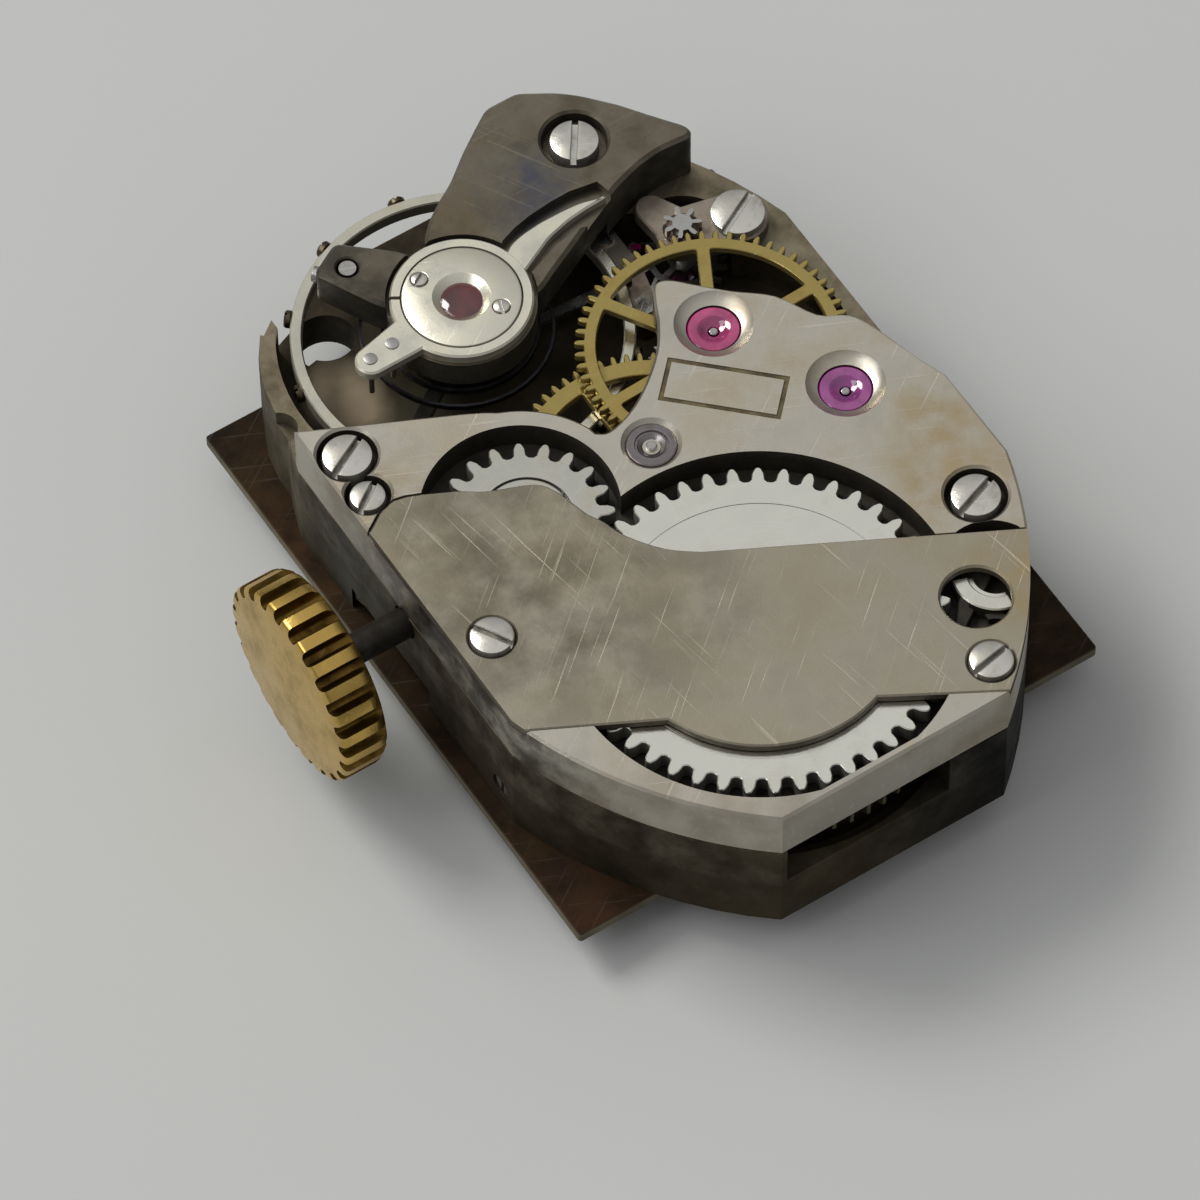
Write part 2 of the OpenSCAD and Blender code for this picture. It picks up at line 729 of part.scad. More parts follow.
module escape_cock_screw() {
    color(steel)
    translate(escape_screw_at)
        screw(0.5, escape_cock_z + escape_cock_t, 0.14, escape_shank_r, 1.2, 28,
              slot_depth = 0.1);
}

module setting_lever_screw() {
    color(steel)
    translate(setting_screw_at)
        screw(0.33, top_z - 0.5, 0.46, 0.2, top_z - 0.5 - setting_lever_z, 35);
}

// Pressed train jewels, with an oil cup above the hole
module hole_jewel(r, z0, h, cup = true) {
    difference() {
        disc(r, z0, z0 + h);
        disc(pivot_r + fit, z0 - over, z0 + h + over);
        if (cup)
            translate([0, 0, z0 + h - 0.1])
                cylinder(r1 = pivot_r + fit, r2 = r * 0.6, h = 0.101);
    }
}

module upper_jewels() {
    color(ruby) {
        for (at = [third_at, fourth_at])
            translate(at) hole_jewel(jewel_r, jewel_seat_z, 0.3);
        translate(escape_at) hole_jewel(0.3, escape_cock_z, escape_cock_t);
    }
}

module lower_jewels() {
    color(ruby)
    for (at = [third_at, fourth_at, escape_at, pallet_at])
        translate(at) hole_jewel(0.3, motion_ceiling + 0.1, 0.25, cup = false);
}

module centre_bush() {
    color(steel)
    difference() {
        union() {
            disc(centre_bush_neck_r, centre_wheel_z + wheel_t + 0.08, fourth_wheel_z + 0.3);
            disc(centre_bush_r, fourth_wheel_z + wheel_t + 0.1, top_z - 0.05);
        }
        disc(0.1 + fit, 2, top_z + over);
        translate([0, 0, top_z - 0.15]) cylinder(r1 = 0.13, r2 = 0.24, h = 0.101);
    }
}

// Stud that holds the hairspring's outer end, and its screw
module hairspring_stud() {
    color(steel)
    translate(stud_at) disc(stud_r, spring_z - 0.03, top_z - 0.03);
}

// The stud's screw lies in the lobe and points at the stud from outside
module stud_screw_line() {
    translate([stud_at.x, stud_at.y, cock_under_z + 0.3])
        rotate([0, 0, heading(balance_at, stud_at)]) rotate([0, 90, 0])
            translate([0, 0, stud_r]) children();
}

module stud_screw() {
    color(steel)
    stud_screw_line() {
        cylinder(r = 0.08, h = 0.4);
        translate([0, 0, 0.4]) cylinder(r = 0.15, h = 0.1);
    }
}

// Keyless work: setting lever on the dial side, its pin in the stem's groove
setting_lever_z = plate_z + 0.27;
setting_lever_t = 0.3;
lever_pin_r = 0.1;

module setting_lever() {
    color(steel) {
        difference() {
            slab(setting_lever_z, setting_lever_z + setting_lever_t) {
                link2d(setting_screw_at, lever_pin_at, 0.36, 0.2);
                link2d(setting_screw_at, [-4.1, 2.05], 0.3, 0.14);
            }
            translate(setting_screw_at)
                disc(0.2 + fit, setting_lever_z - over, setting_lever_z + setting_lever_t + over);
        }
        translate(lever_pin_at)
            disc(lever_pin_r, setting_lever_z + setting_lever_t, stem_z - groove_r - gap);
    }
}
groove_r = 0.17;

// Jumper that holds the setting lever in either position
module setting_lever_spring() {
    color(steel)
    slab(setting_lever_z, setting_lever_z + 0.25) {
        link2d([-2.75, 2.35], [-3.1, 2.35], 0.25, 0.2);
        link2d([-3.1, 2.4], [-3.8, 2.2], 0.09, 0.07);
    }
}

yoke_z = 1.74;
yoke_t = 0.14;

module yoke() {
    color(steel)
    difference() {
        slab(yoke_z, yoke_z + yoke_t) {
            link2d(yoke_pivot_at, [slider_groove_x, 0.3], 0.3, 0.08);
            link2d([slider_groove_x, 0.3], [slider_groove_x, -0.2], 0.08, 0.08);
        }
        translate(yoke_pivot_at) disc(0.14 + fit, yoke_z - over, yoke_z + 1);
    }
}
slider_groove_x = slider_x0 + 0.27;

// Spring of the yoke, a bent strip on a stud that is also the yoke's pivot
module yoke_spring() {
    color(steel) {
        translate(yoke_pivot_at) disc(0.14, 1.7, yoke_z + yoke_t + 0.2);
        slab(yoke_z + yoke_t + gap, yoke_z + yoke_t + 0.2) {
            translate(yoke_pivot_at) circle(0.28);
            link2d(yoke_pivot_at, [-4.05, 1.75], 0.12, 0.06);
        }
    }
}

// Click with its screw and spring
click_z = recess_floor + gap;
click_t = 0.3;
ratchet_tip_r = winding_m * (ratchet_teeth / 2 + 0.85);
click_nose = ratchet_at + polar(ratchet_tip_r + 0.1, -32);

module click() {
    color(steel)
    difference() {
        slab(click_z, click_z + click_t) {
            link2d(click_at, click_nose, 0.3, 0.07);
            translate([2.95, -5.72]) circle(0.24);
        }
        translate(click_at) disc(0.15 + fit, click_z - over, cover_z);
    }
}

// Grub screws in the plate's sides that hold the dial's feet
module dial_screws() {
    color(steel)
    for (side = [-1, 1])
        translate([side * (plate_w / 2 - 0.05), side * dial_foot_at.y, dial_screw_z])
            rotate([0, -side * 90, 0]) difference() {
                cylinder(r = dial_screw_r, h = dial_screw_reach - 0.1);
                translate([-dial_screw_r - over, -0.04, -over])
                    cube([2 * dial_screw_r + 2 * over, 0.08, over + 0.1]);
            }
}

module click_screw() {
    color(steel)
    translate(click_at) disc(0.15, seam_z + 0.1, click_z + click_t + 0.02);
}

// Curved wire spring behind the click
module click_spring() {
    color([0.85, 0.84, 0.8])
    slab(click_z + 0.05, click_z + 0.2) {
        difference() {
            translate([3.0, -6.45]) circle(0.42);
            translate([3.0, -6.45]) circle(0.3);
            translate([2.3, -7.0]) square([0.75, 1.4]);
        }
        translate([3.07, -6.78]) circle(0.1);
    }
}

// Crown, its edge fluted and both rims rounded
crown_x = -6.65;
crown_rim = 0.22;

module crown() {
    color([0.78, 0.62, 0.28])
    translate([0, 0, stem_z]) rotate([0, -90, 0])
    difference() {
        translate([0, 0, -crown_x]) {
            rotate_extrude($fn = 96)
                polygon([[0, 0], [crown_r - crown_rim, 0], [crown_r, crown_rim],
                         [crown_r, crown_t - crown_rim], [crown_r - crown_rim, crown_t],
                         [crown_r * 0.8, crown_t + 0.05], [0, crown_t + 0.12]]);
        }
        for (i = [0:crown_flutes - 1])
            rotate(360 * i / crown_flutes) translate([crown_r + 0.03, 0, -crown_x - over])
                cylinder(r = 0.14, h = crown_t + 2 * over);
        // Socket for the stem's thread
        translate([0, 0, -crown_x - over]) cylinder(r = stem_r, h = 0.45 + over);
    }
}

module stem_turned(r, x0, x1) {
    translate([0, 0, stem_z]) rotate([0, -90, 0]) translate([0, 0, -x1])
        cylinder(r = r, h = x1 - x0);
}

module winding_stem() {
    color(steel) {
        stem_turned(stem_r, crown_x - 0.45, groove_x - 0.16);
        stem_turned(groove_r, groove_x - 0.16, groove_x + 0.16);
        stem_turned(square_r, groove_x + 0.16, stem_inner_end - 0.25);
        stem_turned(0.15, stem_inner_end - 0.25, stem_inner_end);
    }
}
square_r = 0.22;

// Winding pinion, in mesh with the crown wheel's lower edge
module winding_pinion() {
    color(steel)
    translate([0, 0, stem_z]) rotate([0, -90, 0]) {
        difference() {
            translate([0, 0, -pinion_x1]) linear_extrude(pinion_x1 - pinion_x0)
                polygon([for (i = [0:winding_pinion_teeth - 1])
                    let (a = 360 * i / winding_pinion_teeth)
                    each [polar(winding_tip_r - 0.28, a - 8), polar(winding_tip_r, a - 3),
                          polar(winding_tip_r, a + 3), polar(winding_tip_r - 0.28, a + 8)]]);
            translate([0, 0, -pinion_x1 - over])
                cylinder(r = square_r + fit, h = 1);
        }
    }
}

// Sliding pinion with the yoke's groove and crown teeth at its inner end
module sliding_pinion() {
    color(steel)
    difference() {
        union() {
            stem_turned(slider_r, slider_x0, slider_x0 + 0.14);
            stem_turned(0.34, slider_x0 + 0.14, slider_x0 + 0.4);
            stem_turned(slider_r, slider_x0 + 0.4, slider_x0 + slider_l);
        }
        stem_turned(square_r + fit, slider_x0 - 1, slider_x0 + 1);
        for (i = [0:9])
            translate([slider_x0 + slider_l, 0, stem_z]) rotate([36 * i, 0, 0])
                translate([-0.06, -0.05, 0.3]) cube([0.2, 0.1, 0.4]);
    }
}

crown_core_r = 0.42;
crown_cap_r = 0.8;

module crown_wheel() {
    color(steel)
    translate(crown_wheel_at)
    difference() {
        slab(winding_wheel_z, winding_wheel_z + winding_wheel_t)
            gear2d(crown_wheel_teeth, winding_m, crown_wheel_phase, share = 0.46, tip_share = 0.2);
        disc(crown_core_r + fit, 2, 5);
        disc(crown_cap_r + 0.04, winding_wheel_z + winding_wheel_t - 0.12, 5);
    }
}

module crown_wheel_core() {
    color(steel)
    translate(crown_wheel_at) {
        disc(crown_core_r, recess_floor, winding_wheel_z + winding_wheel_t - 0.1);
        disc(crown_cap_r, winding_wheel_z + winding_wheel_t - 0.1,
             winding_wheel_z + winding_wheel_t + 0.02);
    }
}

module ratchet_wheel() {
    color(steel)
    translate(ratchet_at)
    difference() {
        slab(winding_wheel_z, winding_wheel_z + winding_wheel_t)
            gear2d(ratchet_teeth, winding_m, ratchet_phase, share = 0.46, tip_share = 0.22);
        translate([0, 0, winding_wheel_z - over]) linear_extrude(1)
            square(0.5, center = true);
        disc(2.6, winding_wheel_z + winding_wheel_t - 0.03, 5);
    }
}

barrel_pitch_r = barrel_m * barrel_teeth / 2;
barrel_drum_r = barrel_pitch_r - 1.4 * barrel_m;
barrel_wall = 0.16;

module barrel() {
    color(brass)
    translate(ratchet_at)
    difference() {
        union() {
            slab(barrel_teeth_z, barrel_teeth_z + tooth_band)
                gear2d(barrel_teeth, barrel_m, 0, share = 0.44);
            disc(barrel_drum_r, barrel_z, barrel_z + barrel_h);
        }
        disc(barrel_drum_r - barrel_wall, barrel_z + 0.16, barrel_z + barrel_h + over);
        disc(0.3 + fit, barrel_z - over, barrel_z + 1);
    }
}

module barrel_lid() {
    color(brass)
    translate(ratchet_at)
        ring(barrel_drum_r - barrel_wall, 0.36 + fit, barrel_z + barrel_h - 0.16,
             barrel_z + barrel_h);
}

module barrel_arbor() {
    color(steel)
    translate(ratchet_at) {
        disc(0.3, motion_ceiling + 0.1, barrel_z + 0.16 + gap);
        disc(0.55, barrel_z + 0.16 + gap, barrel_z + barrel_h - 0.16 - gap);
        disc(0.36, barrel_z + barrel_h - 0.16 - gap, winding_wheel_z);
        translate([-0.25, -0.25, winding_wheel_z]) cube([0.5, 0.5, winding_wheel_t - 0.07]);
    }
}

// Coiled strip: its middle line is an even spiral from inner_r to outer_r, and its last
// turn widens to end_r. It winds clockwise outwards and ends at the angle end_at.
module spiral_strip(inner_r, outer_r, end_r, turns, strip_t, end_at = 0, tail = [],
                    per_turn = 36) {
    count = round(turns * per_turn);
    even = count - per_turn;
    function radius(i) = i <= even ? inner_r + (outer_r - inner_r) * i / even
                                   : outer_r + (end_r - outer_r) * (i - even) / per_turn;
    function middle(i, side) = polar(radius(i) + side * strip_t / 2,
                                     end_at + 360 * (count - i) / per_turn);
    polygon(concat([for (i = [0:count]) middle(i, 1)], tail,
                   [for (i = [count:-1:0]) middle(i, -1)]));
}

module mainspring() {
    color(blue_steel)
    translate(ratchet_at)
        slab(barrel_z + 0.16 + gap, barrel_z + barrel_h - 0.16 - gap)
            spiral_strip(0.66, barrel_drum_r - barrel_wall - 0.4,
                         barrel_drum_r - barrel_wall - 0.12, 8, 0.1);
}

// Train wheels: spoked brass wheel, steel pinion and pivots on one arbor
module arbor(at, z0, z1) {
    translate(at) {
        disc(pivot_r, z0, z1);
        disc(arbor_r, z0 + 0.28, z1 - 0.42);
    }
}

module centre_wheel() {
    color(brass)
    slab(centre_wheel_z, centre_wheel_z + wheel_t) difference() {
        gear2d(centre_teeth, centre_m);
        spoke_windows(0.55, centre_m * centre_teeth / 2 - 0.42, 5, 0.24, 90);
    }
    color(steel) {
        slab(barrel_teeth_z - gap, barrel_teeth_z + tooth_band + gap)
            gear2d(centre_leaves, barrel_m, centre_leaf_phase, share = 0.38);
        disc(centre_journal_r - 0.02, barrel_z, centre_wheel_z);
        disc(centre_journal_r, motion_ceiling + gap, barrel_z);
        disc(arbor_r, -0.5, motion_ceiling + gap);
        disc(0.2, centre_wheel_z + wheel_t, centre_wheel_z + wheel_t + 0.06);
        disc(0.1, centre_wheel_z + wheel_t, top_z - 0.06);
    }
}

module third_wheel() {
    color(brass)
    translate(third_at) slab(third_wheel_z, third_wheel_z + wheel_t) difference() {
        gear2d(third_teeth, third_m);
        spoke_windows(0.42, third_m * third_teeth / 2 - 0.32, 5, 0.2);
    }
    color(steel) {
        translate(third_at) slab(centre_wheel_z - 0.03, centre_wheel_z + wheel_t + 0.03)
            gear2d(third_leaves, centre_m, third_leaf_phase, share = 0.38);
        arbor(third_at, motion_ceiling + 0.12, jewel_seat_z + 0.24);
    }
}

module fourth_wheel() {
    color(brass)
    translate(fourth_at) slab(fourth_wheel_z, fourth_wheel_z + wheel_t) difference() {
        gear2d(fourth_teeth, fourth_m, 2);
        spoke_windows(0.42, fourth_m * fourth_teeth / 2 - 0.32, 6, 0.24, 2);
    }
    color(steel) {
        translate(fourth_at) slab(third_wheel_z - 0.04, third_wheel_z + wheel_t + 0.04)
            gear2d(fourth_leaves, third_m, fourth_leaf_phase, share = 0.38);
        arbor(fourth_at, motion_ceiling + 0.12, jewel_seat_z + 0.24);
    }
}

// Escape wheel with raked club teeth
module escape_wheel() {
    color(steel) {
        translate(escape_at) slab(escape_wheel_z, escape_wheel_z + 0.12) difference() {
            polygon([for (i = [0:escape_teeth - 1]) let (a = 360 * i / escape_teeth)
                each [polar(escape_r * 0.76, a - 5), polar(escape_r * 0.97, a + 2),
                      polar(escape_r, a + 6), polar(escape_r * 0.76, a + 3)]]);
            spoke_windows(0.28, escape_r * 0.62, 4, 0.12, 20);
        }
        // The pinion stands on the pivot's end, above the cock
        translate(escape_at) slab(fourth_wheel_z - 0.01, fourth_wheel_z + wheel_t + 0.03)
            gear2d(escape_leaves, fourth_m, escape_leaf_phase, share = 0.36, ded = 1.2);
        translate(escape_at) {
            disc(pivot_r, motion_ceiling + 0.12, fourth_wheel_z + wheel_t);
            disc(0.12, motion_ceiling + 0.4, escape_cock_z - gap);
        }
    }
}

// Pallet fork between the escape wheel and the balance
to_escape = heading(pallet_at, escape_at);
to_balance = heading(pallet_at, balance_at);
fork_reach = spacing(pallet_at, balance_at) - 0.62;
pallet_t = 0.12;
stone_angle = 52;

module pallet_fork() {
    color(steel) {
        translate(pallet_at) {
            difference() {
                slab(pallet_z, pallet_z + pallet_t) {
                    circle(0.2);
                    for (side = [-1, 1])
                        link2d([0, 0], stone_root(side), 0.13, 0.1);
                    link2d([0, 0], polar(fork_reach - 0.28, to_balance), 0.13, 0.08);
                    for (side = [-1, 1])
                        link2d(polar(fork_reach - 0.3, to_balance + side * 2),
                               polar(fork_reach, to_balance + side * 4.5), 0.06, 0.05);
                }
                for (side = [-1, 1]) stone_slot(side, 0.001);
            }
            disc(pivot_r, motion_ceiling + 0.12, pallet_bridge_z + pallet_bridge_t + 0.04);
            disc(0.12, motion_ceiling + 0.4, pallet_z);
        }
    }
}

function stone_root(side) = polar(0.78, to_escape + side * stone_angle);

module stone_slot(side, grow) {
    translate(stone_root(side)) rotate(to_escape - side * 18)
        translate([-0.05, -0.06 - grow, pallet_z - grow])
            cube([0.19 + grow, 0.12 + 2 * grow, pallet_t + 2 * grow]);
}

module pallet_stones() {
    color(ruby)
    translate(pallet_at)
        for (side = [-1, 1]) stone_slot(side, 0);
}

// Balance: rim, two arms, screws and staff
arm_angle = 35;

module balance_wheel() {
    color([0.82, 0.8, 0.7])
    translate(balance_at)
    difference() {
        union() {
            ring(balance_r, balance_r - rim_w, balance_z, balance_z + rim_h);
            slab(balance_z + 0.08, balance_z + 0.2) {
                circle(0.36);
                rotate(arm_angle) square([2 * balance_r - rim_w, 0.3], center = true);
            }
        }
        disc(0.14, balance_z - over, 4);
        for_each_timing_screw() cylinder(r = 0.05, h = 0.14);
    }
}

module for_each_timing_screw() {
    for (i = [0:timing_screw_count - 1])
        rotate(arm_angle + 360 / timing_screw_count * (i + 0.5))
            translate([balance_r - 0.12, 0, balance_z + rim_h / 2]) rotate([0, 90, 0])
                children();
}

module timing_screws() {
    color([0.7, 0.58, 0.34])
    translate(balance_at)
        for_each_timing_screw() {
            cylinder(r = 0.05, h = 0.14);
            translate([0, 0, 0.125]) cylinder(r = 0.11, h = 0.12);
        }
}

roller_z = balance_z - 0.14;

module balance_staff() {
    color(steel)
    translate(balance_at) {
        disc(pivot_r, motion_ceiling + 0.03, top_z - 0.2);
        disc(0.14, motion_ceiling + 0.34, cock_under_z + 0.06);
        difference() {
            disc(0.46, roller_z, balance_z - 0.02 + 0.1);
            translate([0, 0, roller_z - over]) translate(impulse_at) cylinder(r = 0.06, h = 1);
        }
    }
}
impulse_at = polar(0.36, to_balance + 180);

module impulse_jewel() {
    color(ruby)
    translate(balance_at) translate(impulse_at) disc(0.06, pallet_z - 0.02, balance_z + 0.08);
}

spring_inner_r = 0.34;
spring_outer_r = 1.45;
spring_end_r = 1.86;
spring_strip_t = 0.05;
spring_h = 0.12;
spring_end = heading(balance_at, stud_at) + 10;
// The outer end is led out from the last turn to the stud
stud_face_r = spacing(balance_at, stud_at) - stud_r + 0.01;
spring_tail = [polar(stud_face_r, spring_end - 8),
               polar(stud_face_r - spring_strip_t, spring_end - 9)];

module hairspring() {
    color(blue_steel)
    slab(spring_z, spring_z + spring_h) {
        translate(balance_at)
            spiral_strip(spring_inner_r, spring_outer_r, spring_end_r, hairspring_turns,
                         spring_strip_t, spring_end, spring_tail);
    }
}

module hairspring_collet() {
    color(brass)
    translate(balance_at)
        ring(spring_inner_r - spring_strip_t / 2, 0.14, balance_z + rim_h - 0.02,
             spring_z + spring_h + 0.04);
}

// Motion work under the dial. Each hand's seat ends at a shoulder
hour_seat_h = 0.25;
seat_step = 0.16;
minute_seat_z = -hour_seat_h - 0.02;
minute_seat_h = 0.28;

module cannon_pinion() {
    color(steel)
    difference() {
        union() {
            disc(minute_seat_r, minute_seat_z - minute_seat_h, minute_seat_z);
            disc(minute_seat_r + seat_step, minute_seat_z, motion_ceiling - 0.35);
            slab(motion_ceiling - 0.35, motion_ceiling - gap)
                gear2d(cannon_leaves, motion_m, 0, share = 0.38, ded = 1.1);
        }
        disc(arbor_r + 0.02, minute_seat_z - 1, motion_ceiling + over);
    }
}

module minute_wheel() {
    color(brass)
    translate(minute_at)
    difference() {
        union() {
            slab(motion_ceiling - 0.33, motion_ceiling - 0.13)
                gear2d(minute_teeth, motion_m, minute_phase);
            slab(plate_z + 0.04, motion_ceiling - 0.33)
                gear2d(minute_leaves, motion_m, 0, share = 0.38, ded = 1.1);
        }
        disc(0.15 + fit, 0, 1.2);
    }
}

module setting_wheel() {
    color(steel)
    translate(setting_at)
    difference() {
        slab(motion_ceiling - 0.33, motion_ceiling - 0.1)
            gear2d(setting_teeth, motion_m, setting_phase);
        disc(0.15 + fit, 0, 1.2);
    }
}

module hour_wheel() {
    color(brass)
    difference() {
        union() {
            disc(hour_seat_r, -hour_seat_h, 0);
            disc(hour_seat_r + seat_step, 0, plate_z + 0.05);
            slab(plate_z + 0.05, plate_z + 0.22) gear2d(hour_teeth, motion_m, hour_phase);
        }
        disc(minute_seat_r + seat_step + fit, -1, 1);
    }
}

dial();
main_plate();
train_bridge();
cover_plate();
balance_cock();
escape_cock();
pallet_bridge();
bridge_screws();
cover_screws();
cock_screw();
escape_cock_screw();
pallet_bridge_screws();
end_piece();
end_piece_screws();
balance_jewels();
upper_jewels();
lower_jewels();
centre_bush();
hairspring_stud();
stud_screw();
regulator();
setting_lever_screw();
setting_lever();
setting_lever_spring();
yoke();
yoke_spring();
click();
click_spring();
click_screw();
dial_screws();
crown();
winding_stem();
winding_pinion();
sliding_pinion();
crown_wheel();
crown_wheel_core();
ratchet_wheel();
barrel();
barrel_lid();
barrel_arbor();
mainspring();
centre_wheel();
cannon_pinion();
third_wheel();
fourth_wheel();
escape_wheel();
pallet_fork();
pallet_stones();
balance_wheel();
timing_screws();
balance_staff();
impulse_jewel();
hairspring();
hairspring_collet();
setting_wheel();
minute_wheel();
hour_wheel();
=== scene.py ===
"""Looks of a small shaped lever movement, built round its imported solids.

All sizes are in millimetres in the part's own frame: +X away from the crown,
+Y towards the balance, +Z from the dial to the bridges. Meshes are scaled to
metres as they are finished.
"""

import logging
import math
from collections.abc import Callable, Iterable, Sequence
from dataclasses import dataclass, field
from enum import Enum
from typing import ClassVar

import bmesh
import bpy
from mathutils import Matrix, Vector


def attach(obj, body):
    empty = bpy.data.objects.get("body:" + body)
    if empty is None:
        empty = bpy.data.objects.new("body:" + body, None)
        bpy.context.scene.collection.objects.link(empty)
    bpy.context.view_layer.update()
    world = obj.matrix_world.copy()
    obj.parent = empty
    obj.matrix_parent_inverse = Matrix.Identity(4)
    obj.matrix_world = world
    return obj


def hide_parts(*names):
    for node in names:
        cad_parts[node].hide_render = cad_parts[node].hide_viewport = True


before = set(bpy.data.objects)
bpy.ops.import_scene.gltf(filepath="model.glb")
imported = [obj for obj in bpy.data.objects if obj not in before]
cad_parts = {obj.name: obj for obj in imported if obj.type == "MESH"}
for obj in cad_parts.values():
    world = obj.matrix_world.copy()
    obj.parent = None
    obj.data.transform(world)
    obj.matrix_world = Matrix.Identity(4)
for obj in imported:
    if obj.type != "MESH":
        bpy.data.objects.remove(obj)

log = logging.getLogger("movement")

MM = 0.001
ADDENDUM, DEDENDUM = 0.85, 1.25
Point = tuple[float, float]
Loop = list[Point]
Colour = tuple[float, float, float]


# Plans


def polar(radius: float, angle: float, at: Point = (0.0, 0.0)) -> Point:
    """Point at a radius and an angle in degrees from a centre."""
    turn = math.radians(angle)
    return at[0] + radius * math.cos(turn), at[1] + radius * math.sin(turn)


def turned(point: Point, about: Point, angle: float) -> Point:
    """Point turned about an axis."""
    c, s = math.cos(math.radians(angle)), math.sin(math.radians(angle))
    x, y = point[0] - about[0], point[1] - about[1]
    return about[0] + x * c - y * s, about[1] + x * s + y * c


def heading(start: Point, end: Point) -> float:
    """Direction in degrees from one axis to another."""
    return math.degrees(math.atan2(end[1] - start[1], end[0] - start[0]))


def arc(at: Point, radius: float, start: float, end: float, steps: int) -> Loop:
    """Points along an arc, both ends included.

    Args:
        at: centre of the arc.
        radius: its radius.
        start: first angle in degrees.
        end: last angle in degrees.
        steps: number of chords.

    Returns:
        The points in order.
    """
    return [polar(radius, start + (end - start) * i / steps, at) for i in range(steps + 1)]


def circle(at: Point, radius: float, count: int = 64) -> Loop:
    """Closed round outline."""
    return arc(at, radius, 0, 360 - 360 / count, count - 1)


def smooth(points: Sequence[Point], steps: int) -> Loop:
    """Curve through points, as a Catmull-Rom line.

    Args:
        points: points to pass through, ends kept.
        steps: new points for each span.

    Returns:
        The denser line.
    """
    ends = [points[0], *points, points[-1]]
    out: Loop = []
    for a, b, c, d in zip(ends, ends[1:], ends[2:], ends[3:]):
        for i in range(steps):
            t = i / steps
            out.append(tuple(
                0.5 * (2 * b[k] + (c[k] - a[k]) * t
                       + (2 * a[k] - 5 * b[k] + 4 * c[k] - d[k]) * t * t
                       + (3 * b[k] - a[k] - 3 * c[k] + d[k]) * t ** 3)
                for k in (0, 1)))
    out.append(tuple(points[-1]))
    return out


def link(a: Point, b: Point, ra: float, rb: float) -> Loop:
    """Outline of a link with a round end of its own radius at each of two points."""
    way = heading(a, b)
    return arc(a, ra, way + 90, way + 270, 14) + arc(b, rb, way - 90, way + 90, 14)


def turned_box(at: Point, wide: float, deep: float, turn: float) -> Loop:
    """Corners of a rectangle turned about its centre."""
    signs = ((-1, -1), (1, -1), (1, 1), (-1, 1))
    return [turned((at[0] + i * wide / 2, at[1] + j * deep / 2), at, turn) for i, j in signs]


def rounded(points: Sequence[Point], radius: float, steps: int = 4) -> Loop:
    """Outline whose corners are softened.

    Args:
        points: corners in order.
        radius: length taken off each side of a corner, at most.
        steps: chords at each corner.

    Returns:
        The denser outline.
    """
    out: Loop = []
    for before, here, after in zip([points[-1], *points[:-1]], points, [*points[1:], points[0]]):
        legs = []
        for other in (before, after):
            t = min(radius / math.dist(here, other), 0.45)
            legs.append((here[0] + (other[0] - here[0]) * t, here[1] + (other[1] - here[1]) * t))
        for i in range(steps + 1):
            t = i / steps
            out.append(tuple((1 - t) ** 2 * legs[0][k] + 2 * t * (1 - t) * here[k] + t * t * legs[1][k]
                             for k in (0, 1)))
    return out


def toothed(teeth: int, phase: float, flank: Sequence[Point], shared: int = 0) -> Loop:
    """Outline of a toothed disc about the origin.

    Args:
        teeth: number of teeth.
        phase: angle of the first tooth in degrees.
        flank: radius and half angle of each point, from a tooth's root to its tip.
        shared: how many points at the root are the next tooth's too.

    Returns:
        Points in order.
    """
    outline: Loop = []
    for i in range(teeth):
        a = phase + 360 / teeth * i
        outline += [polar(r, a - w) for r, w in flank]
        outline += [polar(r, a + w) for r, w in reversed(flank[shared:])]
    return outline


def peg_gear(teeth: int, module: float, phase: float) -> Loop:
    """Outline of a winding wheel: long teeth with round tips and round-bottomed gaps."""
    pitch_r = module * teeth / 2
    tip_r, root_r = pitch_r + ADDENDUM * module, pitch_r - DEDENDUM * module
    gap, half, tip = 180 / teeth, 180 / teeth * 0.46, 180 / teeth * 0.3
    flank = [(root_r, gap), (root_r + 0.04 * module, gap - 0.42 * (gap - half)),
             (root_r + 0.3 * module, half * 1.22), (pitch_r, half), (tip_r - 0.34 * module, tip),
             (tip_r - 0.1 * module, tip * 0.66), (tip_r, tip * 0.22)]
    return toothed(teeth, phase, flank, 1)


def gear_outline(teeth: int, module: float, phase: float, share: float = 0.4) -> Loop:
    """Outline of a wheel or a pinion of the train.

    Args:
        teeth: number of teeth.
        module: pitch diameter for each tooth.
        phase: angle of the first tooth in degrees.
        share: tooth's part of the pitch at the pitch line.

    Returns:
        Points in order, eight to a tooth.
    """
    pitch_r = module * teeth / 2
    tip_r, root_r = pitch_r + ADDENDUM * module, pitch_r - DEDENDUM * module
    half, tip = 180 / teeth * share, 180 / teeth * 0.2
    return toothed(teeth, phase, [(root_r, half * 1.15), (pitch_r, half), (tip_r - 0.25 * module, tip * 1.2),
                                  (tip_r, tip * 0.5)])


def mesh_phase(phase: float, teeth: int, others: int, way: float) -> float:
    """Angle of a wheel's first tooth so that it meshes with a wheel behind it."""
    travelled = (way - phase) * teeth / 360
    return way + 180 + (0.5 + travelled) * 360 / others


